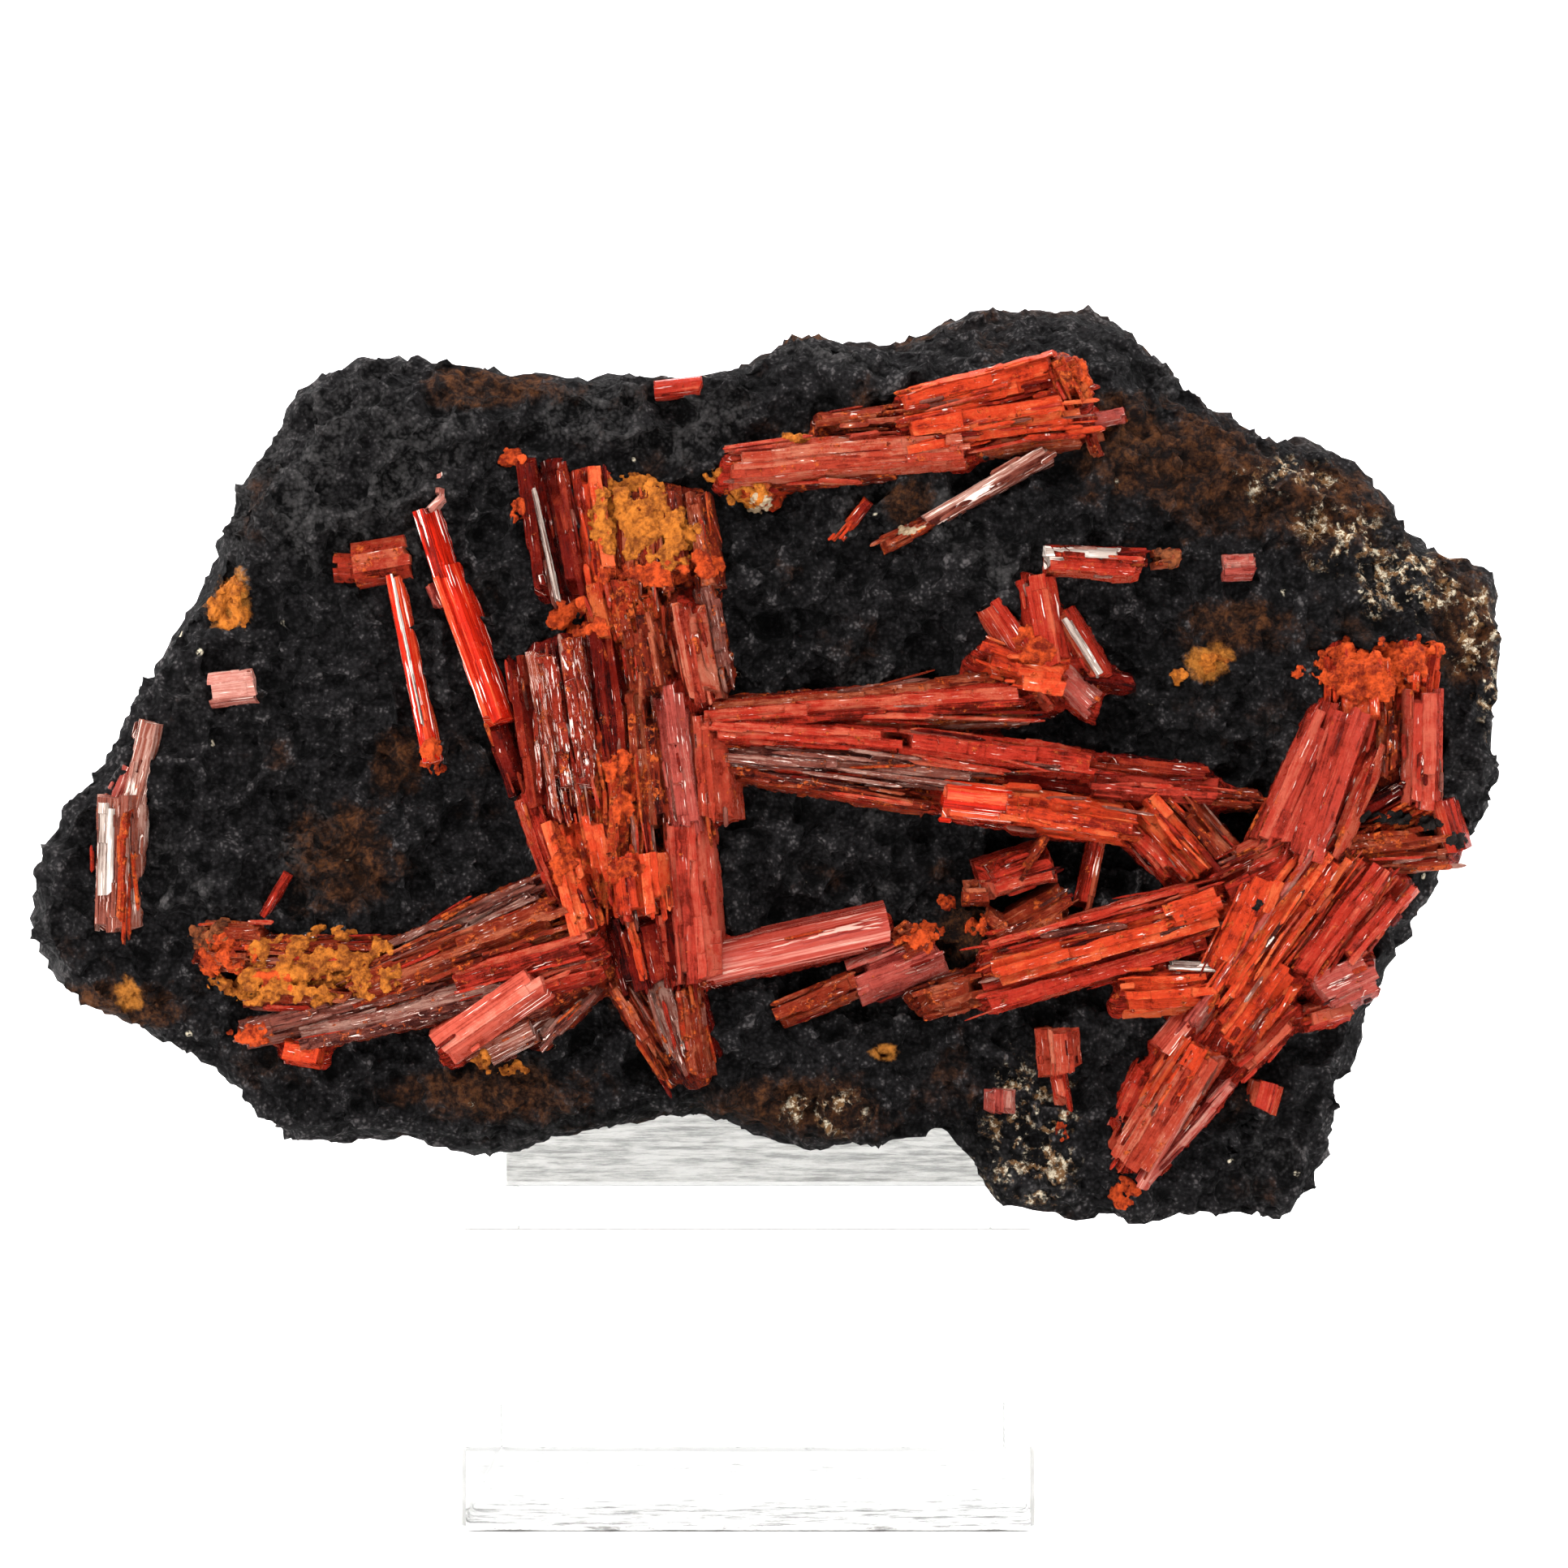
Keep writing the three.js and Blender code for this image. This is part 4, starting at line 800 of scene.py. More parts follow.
GROWTHS: dict[str, list[Crystal]] = {
    "left_spray": [
        Crystal("far_left_lath", -16.3, 76.3, -14.8, 65.7, 1.2, 1.8, 0.6, 1, 10, Tone.DEEP, 2),
        # Painted highlight: a thin white lath where a glint streak shows.
        Crystal("streak_lath", -15.7, 73.7, -13.8, 65.4, 0.42, 2.2, 1.6, 2.2, -6, Tone.WHITE, 1),
        Crystal("inner_lath", -14.4, 76.0, -12.5, 65.6, 1.8, 2.0, 0.8, 1.4, 5, Tone.DEEP, 3),
        Crystal("second_column", -11.7, 75.3, -10.4, 65.6, 2.5, 2.6, 0.8, 1.4, -8, Tone.EMBER, 3),
        Crystal("crusted_column", -7.8, 74.1, -7.0, 65.6, 5.0, 2.4, 0.6, 1.2, 0, Tone.BROWN, 6),
        Crystal("right_top_lath", -4.0, 73.7, -2.7, 66.4, 1.8, 2.1, 0.4, 1.2, 12, Tone.BROWN, 3),
        Crystal("rough_tier", -9.6, 67.1, -8.6, 62.2, 5.0, 3.1, 1.4, 1.8, 0, Tone.ORANGE, 6),
        Crystal("right_block", -4.8, 65.4, -3.4, 57.9, 2.7, 3.3, 2, 2.4, 14, Tone.SALMON, 2),
        Crystal("right_edge_lath", -3.4, 66.7, -1.9, 59.4, 1.3, 2.4, 0.8, 1.2, -18, Tone.GREY, 1),
        Crystal("dark_edge_lath", -16.9, 61.7, -15.1, 50.3, 1.4, 2.6, 1, 1.8, 16, Tone.DEEP, 2),
        Crystal("glint_lath", -14.9, 62.4, -13.0, 50.3, 2.6, 3.0, 2, 2.4, -6, Tone.SPARK, 5),
        Crystal("glint_ridge", -13.0, 62.9, -11.1, 50.4, 1.3, 3.1, 2.4, 2.8, 20, Tone.SPARK, 3),
        Crystal("inner_filler", -8.0, 60.2, -6.8, 49.0, 3.4, 2.4, 1.3, 1.8, 4, Tone.BROWN, 5),
        Crystal("core_lath", -10.9, 64.1, -9.2, 49.7, 2.9, 3.0, 1.4, 2, 0, Tone.DEEP, 5),
        Crystal("speckled_lath", -7.9, 64.5, -7.0, 58.9, 3.0, 3.6, 2.2, 2.4, 8, Tone.BROWN, 5),
        Crystal("grey_glint_lath", -5.8, 59.4, -4.3, 48.5, 2.6, 3.3, 2.2, 2.6, -10, Tone.ROSE, 4),
        Crystal("right_bulge", -3.4, 57.7, -2.7, 49.5, 3.0, 2.8, 1.6, 2, 22, Tone.SALMON, 5),
        Crystal("orange_core", -9.6, 54.5, -8.4, 43.3, 3.7, 3.3, 2.2, 2.8, 0, Tone.ORANGE, 6),
        Crystal("striated_plate", -11.2, 50.3, -10.2, 45.0, 3.0, 2.7, 2.6, 2.8, -6, Tone.EMBER, 5),
        Crystal("lower_right_column", -4.6, 49.7, -3.7, 37.8, 3.4, 3.2, 2, 2.4, 12, Tone.DUSKY, 3),
        Crystal("orange_block", -8.0, 47.2, -7.4, 42.6, 4.2, 3.6, 3.1, 3.4, 0, Tone.EMBER, 3),
        Crystal("left_flank", -16.0, 51.5, -12.9, 43.0, 2.3, 2.4, 1.2, 2, 0, Tone.RED, 3),
        Crystal("left_flank_inner", -14.0, 49.7, -11.5, 41.4, 2.3, 2.6, 1.8, 2.6, 10, Tone.EMBER, 3),
        Crystal("hollow_laths", -8.0, 43.2, -6.6, 37.4, 5.0, 2.8, 1.8, 1.6, 0, Tone.DEEP, 6),
        Crystal("hollow_lath_left", -8.9, 43.6, -7.6, 38.0, 0.9, 2.8, 2.1, 1.9, 0, Tone.EMBER, 2),
        Crystal("hollow_lath_middle", -6.4, 43.0, -5.7, 37.4, 0.8, 2.8, 2.2, 2.0, 8, Tone.RED, 2),
        Crystal("foot_left", -9.7, 38.7, -5.2, 31.0, 2.3, 2.1, 1.2, 0.6, 10, Tone.BROWN, 4),
        Crystal("foot_middle", -7.0, 39.1, -4.3, 31.3, 2.0, 2.4, 1.4, 0.8, -12, Tone.GREY, 4),
        Crystal("foot_red", -4.6, 38.0, -3.4, 30.7, 2.0, 2.5, 1.6, 0.9, 6, Tone.BROWN, 3),
        Crystal("foot_right", -4.3, 38.5, -2.4, 32.1, 1.4, 2.0, 1, 0.4, -8, Tone.DEEP, 3),
        Crystal("striated_crystal", -3.9, 38.8, 10.2, 41.9, 2.8, 3.1, 1.2, 1.2, 14, Tone.STRIPED, 1),
        Crystal("fan_top", -26.9, 39.0, -14.9, 44.4, 2.7, 2.6, 0.6, 1.6, 0, Tone.GREY, 5),
        Crystal("fan_second", -29.2, 36.9, -12.5, 42.9, 3.3, 2.8, 0.9, 2.2, 8, Tone.BROWN, 5),
        Crystal("fan_core", -21.5, 37.2, -10.6, 40.5, 4.1, 3.1, 1.6, 2.6, 0, Tone.RED, 6),
        Crystal("fan_long", -37.1, 34.0, -21.5, 37.5, 2.0, 2.1, 0.4, 1.2, -6, Tone.GREY, 3),
        Crystal("fan_low", -32.7, 34.0, -16.8, 37.6, 2.4, 2.4, 0.6, 1.8, 10, Tone.GREY, 4),
        Crystal("salmon_prism", -22.3, 33.2, -14.4, 38.6, 2.9, 3.2, 2.2, 3.0, -6, Tone.CORAL, 1),
        Crystal("grey_foot", -15.4, 33.3, -10.6, 38.2, 1.3, 2.0, 0.7, 1.6, 14, Tone.GREY, 2),
        Crystal("striped_stub", -19.2, 32.8, -15.4, 34.8, 2.1, 2.3, 0.8, 1.2, 0, Tone.STREAKED, 4),
        Crystal("left_blob", -39.9, 40.6, -35.2, 40.4, 3.4, 2.4, 0.5, 0.7, 0, Tone.BROWN, 4),
        Crystal("crust_bed", -36.9, 38.7, -26.4, 38.7, 4.9, 2.3, 0.5, 0.8, 0, Tone.BROWN, 6),
        Crystal("end_block", -33.9, 33.1, -30.8, 32.6, 2.0, 2.4, 0.5, 0.7, 0, Tone.EMBER, 2),
    ],
    "centre_bundle": [
        Crystal("upper_back", -3.4, 57.8, 19.1, 59.4, 1.2, 2.4, 0.8, 0.9, 0, Tone.BROWN, 3),
        Crystal("upper_main", -3.4, 57.1, 20.0, 58.5, 2.1, 2.7, 1.4, 1.4, 8, Tone.RED, 4),
        Crystal("upper_low", 8.1, 56.2, 20.4, 57.4, 1.2, 2.1, 0.8, 0.8, -8, Tone.BROWN, 3),
        Crystal("lower_first", -3.5, 56.1, 11.5, 55.1, 2.1, 2.8, 1.8, 1.7, 0, Tone.RED, 4),
        Crystal("lower_second", 10.4, 55.4, 25.1, 53.4, 2.3, 3.0, 1.6, 1.5, 10, Tone.RED, 4),
        Crystal("dark_top", 24.1, 53.8, 33.4, 52.9, 1.3, 2.4, 0.8, 0.6, -10, Tone.DEEP, 2),
        Crystal("pink_face", 24.6, 52.3, 34.2, 51.6, 2.0, 2.8, 1.4, 1, 6, Tone.DUSKY, 2),
        Crystal("needle_tip", 30.0, 51.6, 37.4, 51.1, 1.1, 2.0, 0.8, 0.4, 0, Tone.BROWN, 2),
        Crystal("grey_lower", -3.1, 54.5, 18.0, 52.6, 2.0, 2.5, 1.2, 1, -6, Tone.GREY, 4),
        Crystal("brown_lower", -2.2, 53.4, 13.4, 51.2, 1.4, 2.3, 0.8, 0.7, 0, Tone.BROWN, 4),
        Crystal("dark_filler", 16.7, 53.0, 25.2, 51.9, 1.4, 2.0, 0.5, 0.5, 0, Tone.DEEP, 3),
        Crystal("bright_stub", 13.9, 51.2, 19.2, 50.6, 2.6, 3.6, 2.1, 1.9, 12, Tone.BRIGHT, 1),
        Crystal("bright_body", 17.8, 50.8, 28.0, 49.2, 2.9, 3.6, 1.9, 1.6, 6, Tone.EMBER, 3),
        Crystal("bright_under", 19.3, 49.6, 23.8, 49.0, 1.2, 2.4, 0.8, 0.8, 0, Tone.BRIGHT, 2),
        Crystal("arm_right", 30.6, 51.7, 35.0, 46.7, 2.3, 2.6, 1, 1.4, 8, Tone.BROWN, 4),
        Crystal("arm_middle", 28.0, 51.6, 33.2, 45.8, 2.8, 2.8, 1.4, 1.8, -8, Tone.EMBER, 4),
        Crystal("arm_left", 25.6, 51.2, 31.3, 45.1, 1.8, 2.4, 0.9, 1.2, 0, Tone.RED, 3),
        Crystal("flower_body", 16.6, 61.8, 21.7, 59.9, 2.8, 3.0, 1.4, 1.8, 0, Tone.EMBER, 3),
        Crystal("flower_core", 18.3, 60.6, 23.3, 60.0, 2.4, 3.2, 2, 2, 20, Tone.EMBER, 3),
        Crystal("flower_top", 20.6, 67.3, 21.8, 60.0, 3.0, 3.0, 1.2, 2, 8, Tone.RUBY, 4),
        Crystal("flower_leaf", 17.3, 65.6, 20.5, 60.6, 2.0, 2.4, 1, 2, -10, Tone.RUBY, 2),
        Crystal("white_rod", 22.7, 64.9, 25.7, 59.7, 1.5, 2.2, 1.4, 1.6, 14, Tone.RUBY, 1),
        # Painted highlight: a thin white strip over the rod where it glints.
        Crystal("white_rod_face", 22.8, 64.5, 25.5, 60.1, 0.65, 2.1, 1.75, 1.95, 0, Tone.WHITE, 2),
        Crystal("rod_low_left", 20.0, 60.6, 22.3, 57.7, 1.3, 2.1, 1.4, 1, 0, Tone.SALMON, 2),
        Crystal("rod_low_right", 22.0, 60.7, 25.2, 57.9, 2.0, 2.4, 1.6, 1, 10, Tone.ROSE, 2),
        Crystal("rod_side", 24.1, 60.3, 28.0, 59.7, 1.1, 1.8, 1, 0.5, 0, Tone.DEEP, 2),
    ],
    "right_spray": [
        Crystal("top_lumps", 44.3, 61.8, 44.2, 56.2, 4.5, 3.0, 1, 1.6, 0, Tone.EMBER, 5),
        Crystal("top_right_lump", 48.7, 62.6, 48.3, 58.5, 3.2, 2.7, 0.7, 1, 0, Tone.EMBER, 4),
        Crystal("arm_left_lath", 42.2, 57.2, 37.8, 47.7, 3.2, 3.1, 1.4, 2, 8, Tone.DUSKY, 2),
        Crystal("arm_mid_lath", 43.6, 57.7, 39.7, 46.8, 3.6, 3.6, 2, 2.6, -6, Tone.DUSKY, 3),
        Crystal("arm_right_lath", 45.3, 55.5, 41.6, 46.8, 2.5, 3.0, 1.6, 2.2, 14, Tone.RED, 3),
        Crystal("right_column", 48.9, 59.3, 48.8, 50.3, 2.8, 3.3, 1.6, 1.4, 0, Tone.DUSKY, 2),
        Crystal("column_link", 46.4, 57.8, 46.2, 52.8, 2.2, 2.4, 1.2, 1.2, 0, Tone.BROWN, 3),
        Crystal("column_bar", 45.4, 55.4, 48.7, 55.1, 1.4, 2.0, 1, 1, 0, Tone.BROWN, 2),
        Crystal("recess_lath_high", 43.4, 49.7, 49.0, 53.0, 1.2, 2.0, 0.8, 0.8, 0, Tone.DEEP, 2),
        Crystal("recess_lath_low", 44.1, 48.5, 49.5, 51.2, 2.1, 2.1, 0.8, 0.9, 0, Tone.ORANGE, 2),
        Crystal("far_right_stub", 50.2, 51.3, 51.4, 47.4, 2.4, 3.3, 0.6, 0.4, 10, Tone.RUBY, 2),
        Crystal("brown_arch", 42.4, 47.4, 50.9, 48.2, 3.6, 2.4, 0.8, 0.4, 0, Tone.BROWN, 4),
        Crystal("body_right", 47.5, 45.7, 42.4, 39.8, 3.3, 2.7, 0.6, 1.4, -6, Tone.RED, 3),
        Crystal("body_middle", 45.4, 46.5, 39.2, 38.2, 3.7, 3.2, 1.4, 2, 6, Tone.RED, 4),
        Crystal("body_left", 42.4, 48.0, 34.1, 36.3, 3.9, 3.6, 2.4, 2.6, 0, Tone.EMBER, 3),
        Crystal("long_pale_rod", 42.3, 49.4, 31.5, 34.0, 0.8, 3.0, 3.2, 2.8, 20, Tone.ROSE, 1),
        Crystal("junction_left", 40.0, 48.0, 33.9, 45.0, 3.6, 3.1, 2, 2, 0, Tone.RED, 4),
        Crystal("junction_fan", 37.4, 45.7, 34.1, 38.1, 3.7, 3.3, 2.6, 2.4, 0, Tone.EMBER, 5),
        Crystal("corner_block", 45.0, 38.7, 40.8, 36.9, 3.7, 3.6, 0.8, 1.6, 0, Tone.ROSE, 2),
        Crystal("corner_foot", 43.5, 36.1, 40.0, 35.2, 1.9, 2.4, 0.5, 0.8, 0, Tone.RED, 2),
        Crystal("left_stub", 26.8, 37.2, 34.1, 37.8, 3.6, 3.3, 1.6, 2.2, 0, Tone.EMBER, 2),
        # Painted highlight: a thin white strip along the stub where it glints.
        Crystal("left_stub_glint", 30.2, 39.2, 34.0, 39.0, 0.8, 2.7, 2.2, 2.4, 0, Tone.WHITE, 3),
        Crystal("lower_bright", 38.5, 39.2, 34.4, 33.4, 3.7, 3.6, 2.4, 2.4, 8, Tone.EMBER, 2),
        Crystal("lower_right_rod", 39.7, 36.1, 35.3, 31.6, 1.8, 2.6, 1.6, 1.6, -10, Tone.RED, 2),
        Crystal("lower_shoulder", 33.5, 36.9, 30.0, 32.6, 2.6, 2.6, 1.6, 1.4, 0, Tone.CORAL, 3),
        Crystal("lower_main", 32.8, 33.6, 27.3, 24.5, 3.9, 3.3, 2.2, 1, 6, Tone.SALMON, 3),
        Crystal("lower_main_top", 32.6, 33.8, 29.4, 28.6, 3.2, 3.3, 2.5, 1.9, 4, Tone.EMBER, 3),
        Crystal("lower_edge", 28.8, 31.8, 26.3, 26.6, 1.4, 2.4, 1, 0.6, 0, Tone.RED, 2),
        Crystal("lower_thin_rod", 33.9, 33.0, 28.3, 23.0, 1.1, 2.7, 2.4, 1, 20, Tone.STRIPED, 1),
        Crystal("lower_pale_rod", 34.8, 31.0, 28.4, 23.3, 1.3, 2.6, 1.6, 0.8, -8, Tone.ROSE, 1),
        Crystal("branch_top", 34.1, 44.6, 17.2, 39.7, 2.1, 3.0, 2, 1.2, 10, Tone.RED, 3),
        Crystal("branch_middle", 34.0, 43.2, 17.5, 38.5, 2.8, 3.2, 2.2, 1.2, 0, Tone.EMBER, 4),
        Crystal("branch_low", 33.5, 41.6, 17.0, 36.8, 2.6, 2.6, 1.4, 0.8, -8, Tone.RED, 4),
        Crystal("branch_end", 17.2, 37.8, 12.0, 36.3, 2.6, 2.3, 0.8, 0.5, 0, Tone.BROWN, 4),
        Crystal("branch_block", 34.1, 43.8, 30.1, 42.5, 2.6, 3.3, 2.8, 2.4, 12, Tone.EMBER, 2),
    ],
    "upper_bundle": [
        Crystal("left_lower", -1.9, 75.3, 16.1, 76.9, 3.0, 3.1, 1.4, 1.4, 6, Tone.SALMON, 5),
        Crystal("left_under", 1.0, 74.5, 12.6, 75.8, 1.5, 2.6, 0.8, 0.8, -8, Tone.BROWN, 3),
        Crystal("left_upper", 4.8, 78.4, 11.7, 79.1, 1.8, 2.4, 0.7, 0.9, 0, Tone.BROWN, 3),
        Crystal("upper_face", 10.6, 79.2, 23.0, 82.2, 3.1, 3.0, 1.2, 1.6, 0, Tone.EMBER, 4),
        Crystal("lower_face", 11.0, 77.4, 24.4, 79.5, 3.1, 3.4, 1.8, 1.8, 10, Tone.EMBER, 5),
        Crystal("end_lump", 22.3, 83.1, 23.8, 79.5, 2.7, 3.3, 1.8, 1.8, 0, Tone.ORANGE, 3),
        # Painted shade: a dark crystal set where the bundle's hollow shows dark.
        Crystal("cavity", 19.8, 80.8, 22.4, 81.4, 0.9, 3.0, 1.7, 1.9, 0, Tone.DEEP, 2),
        Crystal("low_edge", 16.1, 76.9, 24.2, 77.9, 1.5, 2.6, 1.2, 1, -10, Tone.BROWN, 3),
        Crystal("crust_left", -1.1, 74.4, 2.0, 73.5, 1.8, 2.1, 0.6, 0.8, 0, Tone.ORANGE, 3),
        Crystal("end_bits", 25.0, 78.3, 25.8, 76.2, 1.2, 2.0, 0.6, 0.4, 0, Tone.BROWN, 3),
        Crystal("side_lath", 23.6, 78.7, 27.6, 79.3, 1.1, 2.1, 0.8, 0.5, 0, Tone.ROSE, 2),
    ],
    "hammer_crystal": [
        Crystal("head", -28.9, 68.2, -24.6, 68.9, 3.1, 3.0, 0.9, 1.1, 0, Tone.BLOCK, 1),
        Crystal("head_side", -30.3, 68.1, -27.2, 68.0, 2.0, 2.4, 0.8, 0.9, 0, Tone.BLOCK, 1),
        Crystal("needle", -26.0, 67.8, -23.1, 53.8, 1.15, 1.7, 1.3, 1.1, 8, Tone.BRIGHT, 1),
        # Painted highlight: a thin white strip along the needle's middle where it glints.
        Crystal("needle_sheen", -25.95, 67.6, -23.6, 56.2, 0.36, 1.9, 1.5, 1.3, 0, Tone.WHITE, 1),
    ],
    "bright_lath": [
        Crystal("upper", -23.7, 72.4, -22.0, 67.1, 1.7, 2.6, 1, 1.2, 14, Tone.BRIGHT, 2),
        Crystal("main", -22.3, 68.1, -18.1, 56.4, 2.0, 2.8, 1.2, 1.2, 14, Tone.BRIGHT, 2),
        Crystal("lower", -18.6, 57.0, -16.7, 51.5, 1.4, 2.5, 0.9, 0.7, 14, Tone.DEEP, 2),
        Crystal("neck", -23.4, 72.1, -22.3, 73.3, 0.8, 2.0, 0.8, 0.6, 0, Tone.PALE, 1),
        Crystal("bent_top", -22.6, 72.9, -22.5, 75.0, 0.9, 2.0, 0.6, 0.5, 0, Tone.PALE, 1),
        Crystal("side_bud", -23.3, 66.9, -22.4, 65.1, 0.9, 1.8, 0.4, 0.4, 0, Tone.ROSE, 1),
    ],
    "slanting_rod": [
        Crystal("rod", 21.9, 76.6, 12.8, 71.3, 1.25, 2.3, 1.1, 1.1, 8, Tone.STREAKED, 1),
        Crystal("root", 13.8, 71.8, 9.4, 69.6, 1.2, 2.1, 0.6, 0.4, 0, Tone.BROWN, 2),
    ],
    "tiny_rod": [
        Crystal("rod", 8.7, 73.1, 6.2, 70.0, 0.8, 1.8, 0.6, 0.5, 6, Tone.EMBER, 1),
    ],
    "level_stub": [
        Crystal("stub", 21.2, 68.6, 29.0, 68.3, 2.2, 2.6, 0.9, 0.9, 10, Tone.RED, 1),
        # Painted highlight: a white strip over the stub where it glints.
        Crystal("stub_face", 21.3, 68.8, 27.3, 68.6, 1.6, 2.4, 1.25, 1.25, 6, Tone.WHITE, 2),
        Crystal("tip", 29.4, 68.7, 31.5, 68.9, 1.3, 2.1, 0.6, 0.4, 0, Tone.BROWN, 1),
    ],
    "small_stub": [
        Crystal("stub", 34.5, 68.1, 37.0, 68.2, 1.8, 2.4, 0.6, 0.6, 0, Tone.ROSE, 2),
    ],
    "top_stub": [
        Crystal("stub", -7.0, 81.1, -3.4, 81.5, 1.3, 2.3, 0.7, 0.7, 0, Tone.RUBY, 1),
    ],
    "wedge_lath": [
        Crystal("thin_end", 1.9, 35.4, 8.4, 38.1, 2.0, 2.3, 0.5, 0.8, 0, Tone.BROWN, 4),
        Crystal("thick_end", 7.5, 37.8, 14.0, 40.3, 3.3, 2.6, 0.9, 1, 0, Tone.ROSE, 4),
        Crystal("crown", 10.7, 40.1, 12.8, 41.6, 2.6, 2.6, 1, 1, 0, Tone.BROWN, 3),
    ],
    "short_prism": [
        Crystal("prism", 16.4, 45.0, 22.2, 46.8, 2.6, 3.1, 1.2, 1, 12, Tone.RED, 2),
        Crystal("cross_blade", 19.1, 44.9, 21.3, 48.2, 0.8, 3.2, 2, 0.8, 0, Tone.BROWN, 1),
        Crystal("root", 15.4, 44.4, 17.5, 44.4, 1.8, 2.4, 0.6, 0.7, 0, Tone.BROWN, 2),
    ],
    "narrow_prism": [
        Crystal("prism", 17.9, 41.2, 23.2, 44.2, 2.0, 2.7, 0.9, 0.9, 12, Tone.BROWN, 2),
        Crystal("root", 16.8, 42.7, 18.7, 41.7, 1.8, 2.3, 0.6, 0.7, 0, Tone.BROWN, 2),
    ],
    "thin_lath": [
        Crystal("lath", 25.4, 48.9, 24.1, 43.1, 1.3, 2.1, 0.7, 0.7, 0, Tone.RUBY, 1),
    ],
    "pink_stub": [
        Crystal("stub", -39.3, 59.1, -35.8, 59.5, 2.4, 2.6, 0.8, 0.8, 8, Tone.PALE, 1),
    ],
    "edge_crystal": [
        Crystal("taper", -43.6, 57.0, -45.0, 50.3, 1.7, 2.6, 0.5, 0.9, 0, Tone.STREAKED, 2),
        Crystal("taper_side", -45.0, 53.6, -46.3, 50.2, 1.4, 2.2, 0.4, 0.7, 0, Tone.ROSE, 1),
        Crystal("prism", -45.7, 51.7, -46.1, 41.4, 3.4, 3.2, 0.9, 0.5, 8, Tone.STREAKED, 2),
        Crystal("prism_edge", -44.7, 51.6, -45.0, 42.0, 0.8, 3.0, 1.2, 0.8, 8, Tone.ORANGE, 1),
        # Painted highlight: a white strip over the prism where it glints.
        Crystal("prism_face", -46.4, 51.0, -46.6, 44.2, 1.7, 3.0, 1.45, 1.15, 4, Tone.WHITE, 3),
    ],
    "left_needle": [
        Crystal("needle", -33.6, 45.9, -35.5, 42.6, 0.7, 2.0, 0.4, 0.4, 0, Tone.RUBY, 1),
    ],
    "club_crystal": [
        Crystal("head", 22.3, 34.7, 22.6, 31.0, 3.0, 3.0, 1, 0.9, 0, Tone.SALMON, 2),
        Crystal("stem", 22.3, 32.0, 22.9, 28.5, 1.2, 2.3, 0.6, 0.4, 0, Tone.RED, 1),
    ],
    "corner_cube": [
        Crystal("cube", 18.2, 30.2, 18.1, 28.2, 2.1, 2.6, 0.6, 0.6, 0, Tone.ROSE, 1),
    ],
    "rhomb_cube": [
        Crystal("rhomb", 37.6, 30.7, 37.0, 28.5, 2.4, 2.6, 0.7, 0.7, 0, Tone.RUBY, 1),
    ],
}


@dataclass(frozen=True)
class Lattice:
    """Where a crystal's columns stand: arrays by line, column, break and layer, in millimetres."""

    across: np.ndarray
    along: np.ndarray
    rise: np.ndarray
    lean: np.ndarray
    start: np.ndarray
    end: np.ndarray
    sway: np.ndarray

    @property
    def columns(self) -> int:
        """How many columns there are."""
        return len(self.lean)


